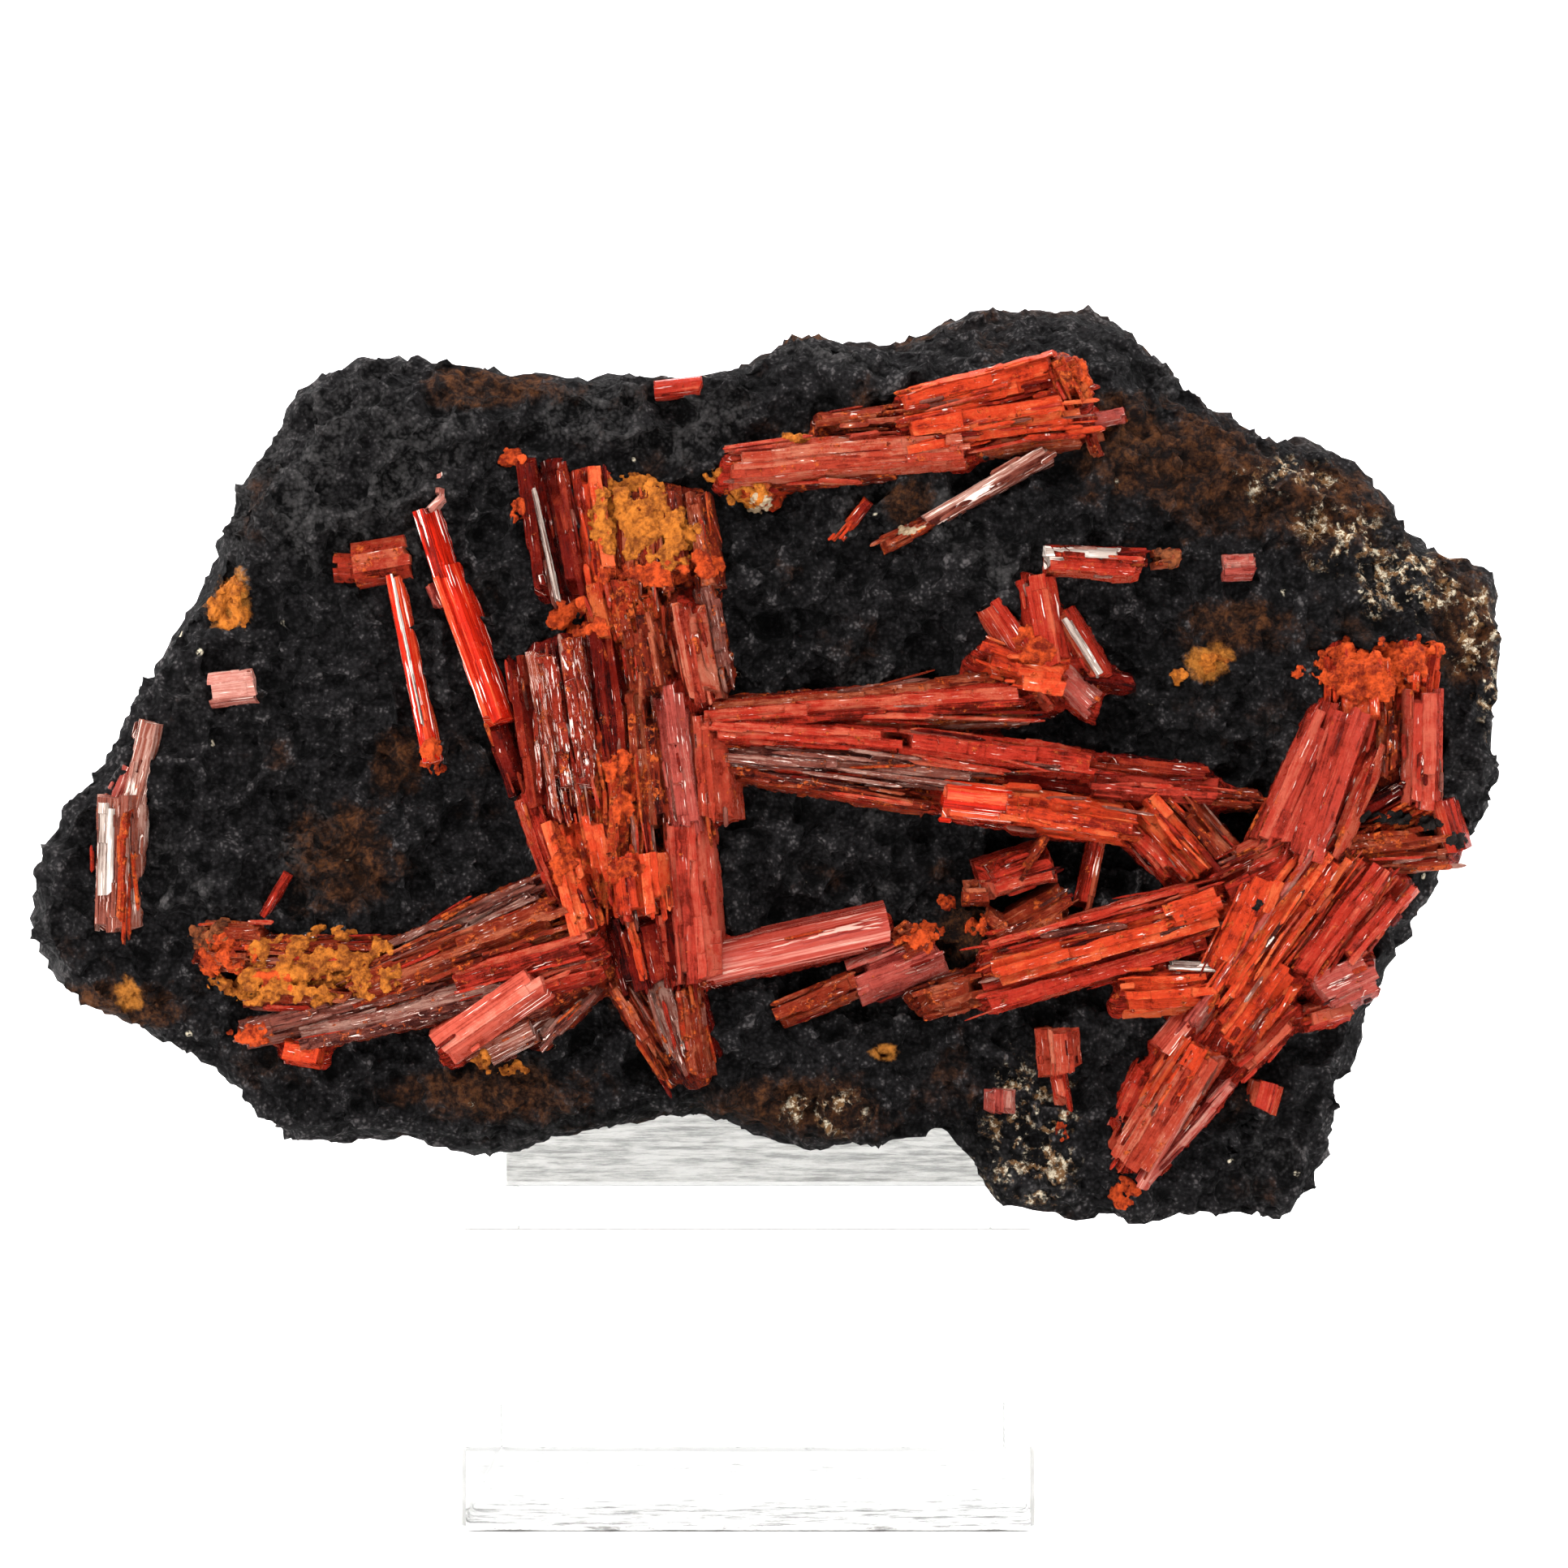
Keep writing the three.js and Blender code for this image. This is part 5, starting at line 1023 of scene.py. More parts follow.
@dataclass
class Growth:
    """A group of crystals grown together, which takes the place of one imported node.

    root is how deep the crystals reach into the slab, wall half the gap between columns,
    column how wide a smooth one's columns are, break_pitch how far apart their breaks are,
    and widen how much wider than its row says a crystal is made. crown and crown_power
    round its top across it, and needle_density is its number of splinters per square
    millimetre where it is roughest. Crystals less rough than bevel_below have bevelled
    edges, and a growth of more crystals than bed_above has a bed.
    """

    node: str
    crystals: list[Crystal]
    blocks: BlockShop
    splinters: SplinterShop
    root: float = 1.4
    wall: float = 0.02
    column: float = 0.95
    most_columns: int = 9
    break_pitch: float = 1.5
    most_breaks: int = 12
    widen: float = 1.10
    crown: float = 0.20
    crown_power: float = 2.2
    needle_density: float = 1.1
    stray_needles: float = 0.4
    edge: float = 0.05
    edge_angle: float = 35.0
    bevel_below: float = 0.45
    bed_above: int = 6
    bed_reach: float = 0.35
    bed_drop: float = 1.5
    swell_voxel: float = 0.5
    bed_voxel: float = 0.34
    bed_relief: Relief = Relief("bed_grain", "CLOUDS", 0.6, 0.6, settings=(("noise_depth", 3),))

    def build(self) -> bpy.types.Object:
        """Builds the growth as one mesh."""
        rng = np.random.default_rng(sum(map(ord, self.node)))
        pieces = [self.crystal(crystal, rng) for crystal in self.crystals]
        for crystal in self.crystals:
            pieces += self.needles(crystal, rng)
        if len(self.crystals) > self.bed_above:
            pieces.append(self.bed(rng))
        piece = join(pieces, self.node + "_crystals")
        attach(piece, BODY)
        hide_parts(self.node)
        return piece

    def placement(self, crystal: Crystal) -> Matrix:
        """Frame of a crystal: X across it, Y into the slab and Z along it, in metres."""
        start = Vector((crystal.x1, FACE_Y - crystal.lift1, crystal.z1))
        end = Vector((crystal.x2, FACE_Y - crystal.lift2, crystal.z2))
        axis = (end - start).normalized()
        side = axis.cross(Vector((0, -1, 0))).normalized()
        inward = axis.cross(side)
        roll = Matrix.Rotation(math.radians(crystal.roll), 3, "Z")
        turned = Matrix((side, inward, axis)).transposed() @ roll
        return Matrix.Scale(MM, 4) @ Matrix.Translation(start) @ turned.to_4x4()

    def fall(self, crystal: Crystal, out: np.ndarray | float) -> np.ndarray | float:
        """How far a crystal's top falls, from its middle, out 0, towards its sides, out 1."""
        return self.crown * crystal.thickness * out ** self.crown_power

    def lattice(self, crystal: Crystal, length: float, rng: np.random.Generator) -> Lattice:
        """Lays out a crystal's columns.

        Args:
            crystal: The crystal.
            length: Its length.
            rng: Source of the unevenness.

        Returns:
            The lattice.
        """
        rough = crystal.tone.value.rough
        width = crystal.width * self.widen
        columns = int(np.clip(round(width / (self.column - 0.5 * rough)), 2, self.most_columns))
        breaks = int(np.clip(round(length / self.break_pitch), 3, self.most_breaks))
        cuts = (np.arange(1, columns) + rng.uniform(-0.36, 0.36, columns - 1)) / columns
        bounds = np.concatenate([[0], cuts, [1]]) * width - width / 2
        across = np.stack([bounds[:-1] + self.wall, bounds[1:] - self.wall], axis=1).ravel()
        pitch = length / (breaks + 1)
        steps = pitch * (np.arange(1, breaks + 1) + rng.uniform(-0.42, 0.42, (columns, breaks)))
        slope = self.wall + rng.exponential(0.10 * rough, (columns, breaks)).clip(0, 0.05 * pitch)
        edges = np.stack([steps - slope, steps + slope], axis=2).reshape(columns, -1)
        along = np.concatenate([np.zeros((columns, 1)), edges, np.full((columns, 1), length)], axis=1)
        strand = np.sort(rng.integers(0, crystal.strands, columns))
        height = rng.normal(0, 0.04 + 0.26 * rough, crystal.strands)[strand]
        height = height + rng.normal(0, 0.02 + 0.20 * rough, columns)
        stepped = rng.random((columns, breaks + 1)) < 0.10 + 0.55 * rough
        climb = np.cumsum(stepped * rng.normal(0, 0.03 + 0.22 * rough, (columns, breaks + 1)), axis=1)
        fall = self.fall(crystal, np.abs(2 * (np.arange(columns) + 0.5) / columns - 1))
        rise = np.clip(height[:, None] + climb, -0.75, 0.55) - fall[:, None]
        reach = (0.16 + 0.95 * rough) * min(1.0, length / 6)
        layer = np.array([1.0, 0.7, 0.3, 0.25])
        return Lattice(
            across=across,
            along=along,
            rise=rise,
            lean=rng.normal(0, 0.07 + 0.24 * rough, columns),
            start=rng.exponential(reach, (columns, 1)).clip(0, 0.35 * length) * layer,
            end=length - rng.exponential(reach, (columns, 1)).clip(0, 0.35 * length) * layer,
            sway=np.cumsum(rng.normal(0, 0.07 * rough, 2 * breaks + 2)),
        )

    def crystal(self, crystal: Crystal, rng: np.random.Generator) -> bpy.types.Object:
        """Shapes a block into one crystal and puts it in place.

        Args:
            crystal: The crystal.
            rng: Source of the unevenness.

        Returns:
            The crystal, with its grain laid out along it.
        """
        tone = crystal.tone.value
        length = math.dist((crystal.x1, crystal.z1), (crystal.x2, crystal.z2))
        lines = self.lattice(crystal, length, rng)
        mesh = self.blocks.block(lines.columns, (lines.along.shape[1] - 2) // 2)
        i, k, j = np.abs(np.rint(read(mesh.vertices, "co", 3))).astype(int).T
        column, segment = i // 2, k // 2
        outer = (i == 0) * 1.0 - (i == 2 * lines.columns - 1) * 1.0
        chamfer = np.array([0.20, 0.03, 0.0, 0.06])[j] * min(crystal.width, crystal.thickness)
        x = lines.across[i] + outer * chamfer + lines.sway[k] * (j < 2)
        middle = lines.across.reshape(-1, 2).mean(axis=1)[column]
        half = crystal.thickness / 2
        top = -lines.rise[column, segment] - lines.lean[column] * (lines.across[i] - middle)
        y = np.choose(j, [top - half + 0.5 * np.abs(outer) * chamfer, top * 0.4 - 0.12 * half,
                          top * 0.2 + 0.1 * half, np.full(len(j), half + self.root)])
        tilt = rng.choice((-1, 1)) * rng.uniform(0.4, 1.6) * tone.slant
        oblique = (tilt * lines.across[i]).clip(0, 0.25 * length)
        z = np.clip(lines.along[column, k], lines.start[column, j], lines.end[column, j] - oblique)
        points = np.stack([x, y, z], axis=1)
        points += rng.normal(0, 0.006 + 0.035 * tone.rough, points.shape)
        mesh.vertices.foreach_set("co", points.ravel())
        lay_grain(mesh, points, column, rng)
        mesh.transform(self.placement(crystal))
        mesh.materials.append(finish_of(crystal.tone))
        piece = link_mesh(mesh, crystal.name)
        if tone.rough < self.bevel_below:
            bevel = piece.modifiers.new("edges", "BEVEL")
            bevel.width = self.edge * MM
            bevel.segments = 1
            bevel.limit_method = "ANGLE"
            bevel.angle_limit = math.radians(self.edge_angle)
            apply_modifiers(piece)
        return piece

    def needles(self, crystal: Crystal, rng: np.random.Generator) -> list[bpy.types.Object]:
        """Scatters splinters over a crystal, nearly along it, more of them where it is rough.

        Args:
            crystal: The crystal.
            rng: Source of their places and sizes.

        Returns:
            The splinters.
        """
        length = math.dist((crystal.x1, crystal.z1), (crystal.x2, crystal.z2))
        rough = crystal.tone.value.rough
        place = self.placement(crystal)
        pieces = []
        for _ in range(int(length * crystal.width * self.needle_density * rough)):
            reach = length * rng.uniform(0.12, 0.4) * (0.5 + rough)
            thick = rng.uniform(0.16, 0.5)
            across = crystal.width * self.widen * rng.uniform(-0.5, 0.5)
            fall = self.fall(crystal, abs(2 * across / crystal.width))
            centre = Vector((across, fall - crystal.thickness / 2 + rng.uniform(-0.12, 0.45), 0))
            start = rng.uniform(-0.03 * length, length * 1.02 - 0.7 * reach)
            turn = Matrix.Rotation(math.radians(rng.normal(0, 3.5)), 4, "Y")
            turn = turn @ Matrix.Rotation(math.radians(rng.normal(0, 2.5)), 4, "X")
            spin = Matrix.Rotation(rng.uniform(0, math.pi), 4, "Z")
            size = Matrix.Diagonal((thick * rng.uniform(0.6, 1.4), thick * 0.8, reach, 1))
            mesh = self.splinters.mesh()
            mesh.transform(Matrix.Translation(centre + Vector((0, 0, start))) @ turn @ spin @ size)
            points = read(mesh.vertices, "co", 3)
            lay_grain(mesh, points, np.zeros(len(points), dtype=int), rng)
            mesh.transform(place)
            mesh.materials.append(finish_of(self.splinter_tone(crystal.tone, rng)))
            pieces.append(link_mesh(mesh, "splinter"))
        return pieces

    def splinter_tone(self, tone: Tone, rng: np.random.Generator) -> Tone:
        """A splinter's tone: mostly that of its crystal, now and then another."""
        others = [Tone.DEEP, Tone.RED, Tone.GREY, Tone.ORANGE]
        return others[rng.integers(len(others))] if rng.random() < self.stray_needles else tone

    def bed(self, rng: np.random.Generator) -> bpy.types.Object:
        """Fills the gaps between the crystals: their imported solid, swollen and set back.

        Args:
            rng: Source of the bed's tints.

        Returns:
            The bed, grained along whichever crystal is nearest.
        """
        piece = packed_copy(self.node, self.node + "_bed")
        bpy.ops.object.mode_set(mode="EDIT")
        bpy.ops.mesh.select_all(action="SELECT")
        bpy.ops.transform.translate(value=(0, self.bed_drop * MM, 0))
        bpy.ops.object.mode_set(mode="OBJECT")
        add_remesh(piece, self.swell_voxel)
        swell = piece.modifiers.new("swell", "DISPLACE")
        swell.strength = self.bed_reach * MM
        swell.mid_level = 0.0
        add_remesh(piece, self.bed_voxel)
        self.bed_relief.add(piece)
        apply_modifiers(piece)
        self.grain_bed(piece.data, rng)
        return piece

    def grain_bed(self, mesh: bpy.types.Mesh, rng: np.random.Generator) -> None:
        """Gives each face of the bed the grain and the finish of the crystal nearest to it.

        Args:
            mesh: The bed's mesh.
            rng: Source of the tints.
        """
        centres = read(mesh.polygons, "center", 3)[:, (0, 2)] / MM
        starts = np.array([(c.x1, c.z1) for c in self.crystals])
        spans = np.array([(c.x2, c.z2) for c in self.crystals]) - starts
        offset = centres[:, None] - starts
        share = (offset * spans).sum(axis=2) / (spans ** 2).sum(axis=1)
        gap = offset - share.clip(0, 1)[..., None] * spans
        half = np.array([c.width for c in self.crystals]) / 2
        owner = (np.hypot(gap[..., 0], gap[..., 1]) - half).argmin(axis=1)
        axes = spans / np.hypot(spans[:, 0], spans[:, 1])[:, None]
        points = read(mesh.vertices, "co", 3) / MM
        loops = read(mesh.loops, "vertex_index", kind=np.int32)
        totals = read(mesh.polygons, "loop_total", kind=np.int32)
        corner, axis = points[loops], axes[np.repeat(owner, totals)]
        across = corner[:, 0] * axis[:, 1] - corner[:, 2] * axis[:, 0] + 0.5 * corner[:, 1]
        along = corner[:, 0] * axis[:, 0] + corner[:, 2] * axis[:, 1]
        store_grain(mesh, np.stack([across, along], axis=1))
        store(mesh, "tint", 0.25 * rng.random(len(mesh.vertices)))
        tones = sorted({crystal.tone.name for crystal in self.crystals})
        for tone in tones:
            mesh.materials.append(finish_of(Tone[BED_TONES.get(tone, tone)]))
        slots = np.array([tones.index(crystal.tone.name) for crystal in self.crystals])
        mesh.polygons.foreach_set("material_index", slots[owner].astype(np.int32))


# The tone that a bed takes under each tone of crystal; the others are their own.
LIGHT_REDS = ("SALMON", "ROSE", "PALE", "BRIGHT", "RUBY", "STRIPED", "CORAL", "EMBER", "DUSKY")
BED_TONES = dict.fromkeys(LIGHT_REDS, "RED") | {"SPARK": "DEEP", "WHITE": "DEEP", "GREY": "BROWN"}


def lay_grain(mesh: bpy.types.Mesh, points: np.ndarray, column: np.ndarray,
              rng: np.random.Generator) -> None:
    """Gives a mesh the map of its grain, across and along in millimetres, and its tints.

    Args:
        mesh: The mesh.
        points: Its vertices in its crystal's own frame.
        column: Each vertex's column.
        rng: Source of the pattern's offset and of each column's tint.
    """
    offset = rng.uniform(0, 90, 2)
    corners = points[read(mesh.loops, "vertex_index", kind=np.int32)]
    across = corners[:, 0] + corners[:, 1]
    store_grain(mesh, np.stack([across, corners[:, 2]], axis=1) + offset)
    store(mesh, "tint", rng.random(column.max() + 1)[column])


FINISHES: dict[str, bpy.types.Material] = {}


def finish_of(choice: Tone | Crumb) -> bpy.types.Material:
    """The material of a tone or crumb, built the first time that it is asked for."""
    label = choice.value.label + type(choice).__name__
    if label not in FINISHES:
        FINISHES[label] = choice.value.material()
    return FINISHES[label]


@dataclass(frozen=True)
class Heap:
    """A patch of crumbs: centre, half sizes, grain size and what it is made of."""

    x: float
    z: float
    half_x: float
    half_z: float
    grain: float
    crumb: Crumb


HEAPS: tuple[Heap, ...] = (
    Heap(-8.2, 71.6, 2.9, 3.0, 0.70, Crumb.OCHRE),
    Heap(-5.8, 70.2, 1.8, 2.0, 0.60, Crumb.OCHRE),
    Heap(-7.6, 67.5, 3.4, 0.7, 0.55, Crumb.ORANGE),
    Heap(-3.5, 68.3, 1.5, 0.9, 0.55, Crumb.ORANGE),
    Heap(-13.2, 64.3, 1.3, 1.4, 0.90, Crumb.ORANGE),
    Heap(-11.0, 63.9, 0.9, 0.7, 0.60, Crumb.ORANGE),
    Heap(-17.4, 76.2, 0.8, 0.7, 0.60, Crumb.ORANGE),
    Heap(-16.9, 71.9, 0.5, 1.0, 0.50, Crumb.ORANGE),
    Heap(-31.2, 39.0, 5.0, 2.3, 0.65, Crumb.OCHRE),
    Heap(-36.6, 37.6, 2.4, 1.0, 0.60, Crumb.OCHRE),
    Heap(-38.0, 39.8, 2.0, 1.5, 0.50, Crumb.ORANGE),
    Heap(-34.2, 37.9, 1.6, 1.0, 0.45, Crumb.ORANGE),
    Heap(-39.2, 41.4, 1.4, 1.0, 0.70, Crumb.BROWN),
    Heap(-38.2, 65.7, 1.5, 1.9, 0.55, Crumb.OCHRE),
    Heap(33.9, 61.5, 1.1, 0.6, 0.50, Crumb.OCHRE),
    Heap(31.4, 60.2, 0.7, 0.5, 0.40, Crumb.OCHRE),
    Heap(-23.2, 54.3, 0.9, 1.0, 0.50, Crumb.ORANGE),
    Heap(-0.2, 73.4, 1.2, 0.7, 0.40, Crumb.OCHRE),
    Heap(0.8, 72.7, 0.9, 0.5, 0.40, Crumb.CREAM),
    Heap(-2.6, 74.9, 0.6, 0.4, 0.40, Crumb.OCHRE),
    Heap(11.8, 70.9, 0.9, 0.4, 0.35, Crumb.CREAM),
    Heap(-17.6, 31.6, 1.2, 0.5, 0.40, Crumb.OCHRE),
    Heap(3.4, 77.6, 1.1, 0.5, 0.45, Crumb.OCHRE),
    Heap(27.2, 22.7, 0.9, 1.0, 0.55, Crumb.ORANGE),
    Heap(22.9, 27.4, 0.6, 0.9, 0.45, Crumb.ORANGE),
    Heap(14.6, 43.9, 0.8, 0.7, 0.45, Crumb.ORANGE),
    Heap(16.6, 42.0, 0.8, 0.7, 0.45, Crumb.ORANGE),
    Heap(-19.4, 32.4, 0.6, 0.6, 0.40, Crumb.OCHRE),
    Heap(-36.0, 34.2, 1.6, 0.6, 0.50, Crumb.ORANGE),
    Heap(44.6, 60.6, 3.9, 1.9, 0.85, Crumb.ORANGE),
    Heap(48.4, 61.9, 1.5, 1.2, 0.70, Crumb.ORANGE),
    Heap(12.8, 41.2, 1.3, 0.9, 0.50, Crumb.ORANGE),
    Heap(-9.6, 53.6, 0.9, 1.4, 0.40, Crumb.ORANGE),
    Heap(-9.0, 50.6, 0.7, 1.2, 0.35, Crumb.ORANGE),
    Heap(-13.4, 47.0, 0.8, 2.4, 0.40, Crumb.ORANGE),
    Heap(-8.6, 46.0, 1.3, 0.6, 0.35, Crumb.ORANGE),
    Heap(30.5, 68.8, 0.9, 0.6, 0.45, Crumb.BROWN),
    Heap(20.6, 62.0, 1.6, 1.6, 0.50, Crumb.ORANGE),
    Heap(46.8, 49.9, 2.2, 0.35, 0.35, Crumb.CHARCOAL),
    Heap(49.6, 49.3, 1.0, 0.5, 0.35, Crumb.CHARCOAL),
    Heap(51.1, 48.2, 0.8, 0.6, 0.35, Crumb.CHARCOAL),
    Heap(36.4, 43.7, 0.5, 0.45, 0.35, Crumb.CHARCOAL),
    Heap(24.0, 82.2, 0.9, 1.1, 0.60, Crumb.ORANGE),
)


@dataclass
class CrumbShop:
    """Models a few crumbs once, each a lumpy grain of one unit across."""

    shapes: int = 4
    crumbs: list[bpy.types.Object] = field(default_factory=list)

    def build(self) -> None:
        """Models the crumbs."""
        for seed in range(self.shapes):
            deselect_all()
            bpy.ops.mesh.primitive_ico_sphere_add(subdivisions=2, radius=0.5, location=(0, 0, 0))
            crumb = newest(f"crumb_{seed}")
            bpy.ops.object.mode_set(mode="EDIT")
            bpy.ops.mesh.select_all(action="SELECT")
            bpy.ops.transform.vertex_random(offset=0.24, uniform=0.3, seed=seed)
            bpy.ops.object.mode_set(mode="OBJECT")
            self.crumbs.append(crumb)

    def clear(self) -> None:
        """Removes the models once every copy is made."""
        for crumb in self.crumbs:
            bpy.data.objects.remove(crumb)


@dataclass
class Crust:
    """Crumbly limonite lying on the crystals and the slab, one piece of each colour.

    cover is the number of crumbs to a square of a heap that is one grain wide, and above
    the Y from which crumbs are dropped towards the face.
    """

    shop: CrumbShop
    ground: BVHTree
    heaps: tuple[Heap, ...] = HEAPS
    voxel: float = 0.13
    cover: float = 8.0
    above: float = -80.0
    reliefs: tuple[Relief, ...] = (
        Relief("clods", "CLOUDS", 1.0, 0.5, settings=(("noise_depth", 2),)),
        Relief("grit", "CLOUDS", 0.30, 0.34, settings=(("noise_depth", 2),)),
    )

    def build(self) -> list[bpy.types.Object]:
        """Builds the crust's pieces."""
        pieces = []
        for crumb in Crumb:
            rng = random.Random(crumb.name)
            grains = [grain for heap in self.heaps if heap.crumb is crumb for grain in self.spread(heap, rng)]
            piece = join(grains, f"crust_{crumb.value.label}")
            self.fuse(piece)
            piece.data.materials.clear()
            piece.data.materials.append(finish_of(crumb))
            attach(piece, BODY)
            pieces.append(piece)
        return pieces

    def fuse(self, piece: bpy.types.Object) -> None:
        """Runs touching crumbs together and roughens them."""
        add_remesh(piece, self.voxel)
        for relief in self.reliefs:
            relief.add(piece)
        apply_modifiers(piece)

    def spread(self, heap: Heap, rng: random.Random) -> list[bpy.types.Object]:
        """Covers a heap's ragged patch with overlapping crumbs."""
        number = int(self.cover * math.pi * heap.half_x * heap.half_z / heap.grain ** 2) + 4
        return [grain for grain in (self.grain(heap, rng) for _ in range(number)) if grain]

    def grain(self, heap: Heap, rng: random.Random) -> bpy.types.Object | None:
        """Copies one crumb into a heap, thicker towards its middle.

        Args:
            heap: The heap.
            rng: Source of its place, turn and size.

        Returns:
            The crumb, or nothing where the patch has a hole.
        """
        angle, reach = rng.uniform(0, 2 * math.pi), 1.2 * math.sqrt(rng.random())
        x = heap.x + heap.half_x * reach * math.cos(angle)
        z = heap.z + heap.half_z * reach * math.sin(angle)
        if noise.noise(Vector((x, 0, z)) * 0.8) * 1.4 + 1.0 < reach:
            return None
        hit = self.ground.ray_cast(Vector((x, self.above, z)) * MM, Vector((0, 1, 0)))[0]
        if hit is None:
            return None
        size = 0.8 * heap.grain * rng.uniform(0.7, 1.6) * MM
        turn = Matrix.Rotation(rng.uniform(0, 2 * math.pi), 4, Vector((rng.random(), rng.random(), 1)))
        sunk = Vector((0, rng.uniform(-0.10, 0.30) * size, 0))
        mesh = rng.choice(self.shop.crumbs).data.copy()
        flattened = Matrix.Diagonal((size, 0.7 * size, size, 1))
        mesh.transform(Matrix.Translation(hit + sunk) @ flattened @ turn)
        return link_mesh(mesh, "grain")


def ground_of(pieces: list[bpy.types.Object]) -> BVHTree:
    """A tree of all the pieces' faces, for finding what lies at a place."""
    points: list[Vector] = []
    faces: list[tuple[int, ...]] = []
    for piece in pieces:
        first = len(points)
        points += [vertex.co.copy() for vertex in piece.data.vertices]
        faces += [tuple(first + index for index in polygon.vertices) for polygon in piece.data.polygons]
    return BVHTree.FromPolygons(points, faces)


@dataclass
class GoethiteSlab:
    """The slab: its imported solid, remeshed finely and broken up into lumps, pits and crumbs.

    Within clear_of_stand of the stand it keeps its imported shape. rim_share is how rough
    its sides and back are beside its face, and surroundings how many rings of neighbours
    a vertex is measured against.
    """

    node: str = "goethite_matrix"
    voxel: float = 0.78
    clear_of_stand: float = 2.2
    rim_share: float = 0.45
    surroundings: tuple[int, int] = (3, 18)
    reliefs: tuple[Relief, ...] = (
        Relief("lumps", "CLOUDS", 8.0, 3.0, 0.5, False, (("noise_depth", 2),)),
        Relief("ledges", "MUSGRAVE", 3.2, 0.8, 0.45, True,
               (("musgrave_type", "RIDGED_MULTIFRACTAL"), ("octaves", 3.0))),
        Relief("knobs", "VORONOI", 2.3, -1.5, 0.40, True),
        Relief("crumbs", "VORONOI", 0.9, -0.8, 0.40, True),
        Relief("grain", "CLOUDS", 0.8, 0.6, 0.5, False,
               (("noise_depth", 2), ("noise_type", "HARD_NOISE"))),
    )

    def build(self) -> bpy.types.Object:
        """Builds the slab."""
        piece = packed_copy(self.node, "goethite_slab")
        add_remesh(piece, self.voxel)
        apply_modifiers(piece)
        self.refine_face(piece)
        self.roughen(piece)
        activate(piece)
        bpy.ops.object.shade_smooth()
        piece.data.materials.append(GoethiteFinish().material())
        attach(piece, BODY)
        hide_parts(self.node)
        return piece

    def refine_face(self, piece: bpy.types.Object) -> None:
        """Splits the faces that look forwards, where the finest crumbs show."""
        activate(piece)
        select_faces(piece, lambda p: p.normal.y < -0.35)
        bpy.ops.object.mode_set(mode="EDIT")
        bpy.ops.mesh.select_mode(type="FACE")
        bpy.ops.mesh.subdivide(number_cuts=1)
        bpy.ops.mesh.select_all(action="SELECT")
        bpy.ops.mesh.quads_convert_to_tris()
        bpy.ops.object.mode_set(mode="OBJECT")

    def roughen(self, piece: bpy.types.Object) -> None:
        """Displaces the slab layer by layer, less where it comes near the stand."""
        free, face = (piece.vertex_groups.new(name=name) for name in ("free", "face"))
        for vertex in piece.data.vertices:
            share = self.freedom(vertex.co)
            free.add([vertex.index], share, "REPLACE")
            forward = max(0.0, -vertex.normal.y)
            share *= self.rim_share + (1 - self.rim_share) * forward
            face.add([vertex.index], share, "REPLACE")
        for relief in self.reliefs:
            relief.add(piece, (face if relief.on_face else free).name)
        apply_modifiers(piece)
        self.mark_relief(piece.data)

    def mark_relief(self, mesh: bpy.types.Mesh) -> None:
        """Stores how far each vertex stands out of its surroundings, in millimetres, which the slab's
        material turns into painted shade and highlight.
        """
        count = len(mesh.vertices)
        places = read(mesh.vertices, "co", 3) / MM
        normals = read(mesh.vertices, "normal", 3)
        ends = read(mesh.edges, "vertices", 2, np.int32)
        degree = np.bincount(ends.ravel(), minlength=count)[:, None]
        level, relief = places, np.zeros(count)
        for ring in range(1, max(self.surroundings) + 1):
            sums = [sum(np.bincount(own, level[other, axis], count) for own, other in (ends.T, ends.T[::-1]))
                    for axis in range(3)]
            level = np.stack(sums, axis=1) / degree
            if ring in self.surroundings:
                relief += ((places - level) * normals).sum(axis=1)
        store(mesh, "relief", relief)

    def freedom(self, place: Vector) -> float:
        """How freely a place may move, from 0 on the stand to 1 well clear of it.

        Args:
            place: The place, in metres.

        Returns:
            The share of the roughness that it takes.
        """
        low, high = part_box("acrylic_stand")
        beside = max(0.0, abs(place.x) - high[0])
        above_seat = max(0.0, place.z - AcrylicStand.seat * MM)
        above_riser = max(0.0, place.z - high[2])
        before_riser = max(0.0, AcrylicStand.riser_front * MM - place.y)
        nearest = min(math.hypot(beside, above_seat), math.hypot(beside, above_riser, before_riser))
        return min(1.0, nearest / (self.clear_of_stand * MM))


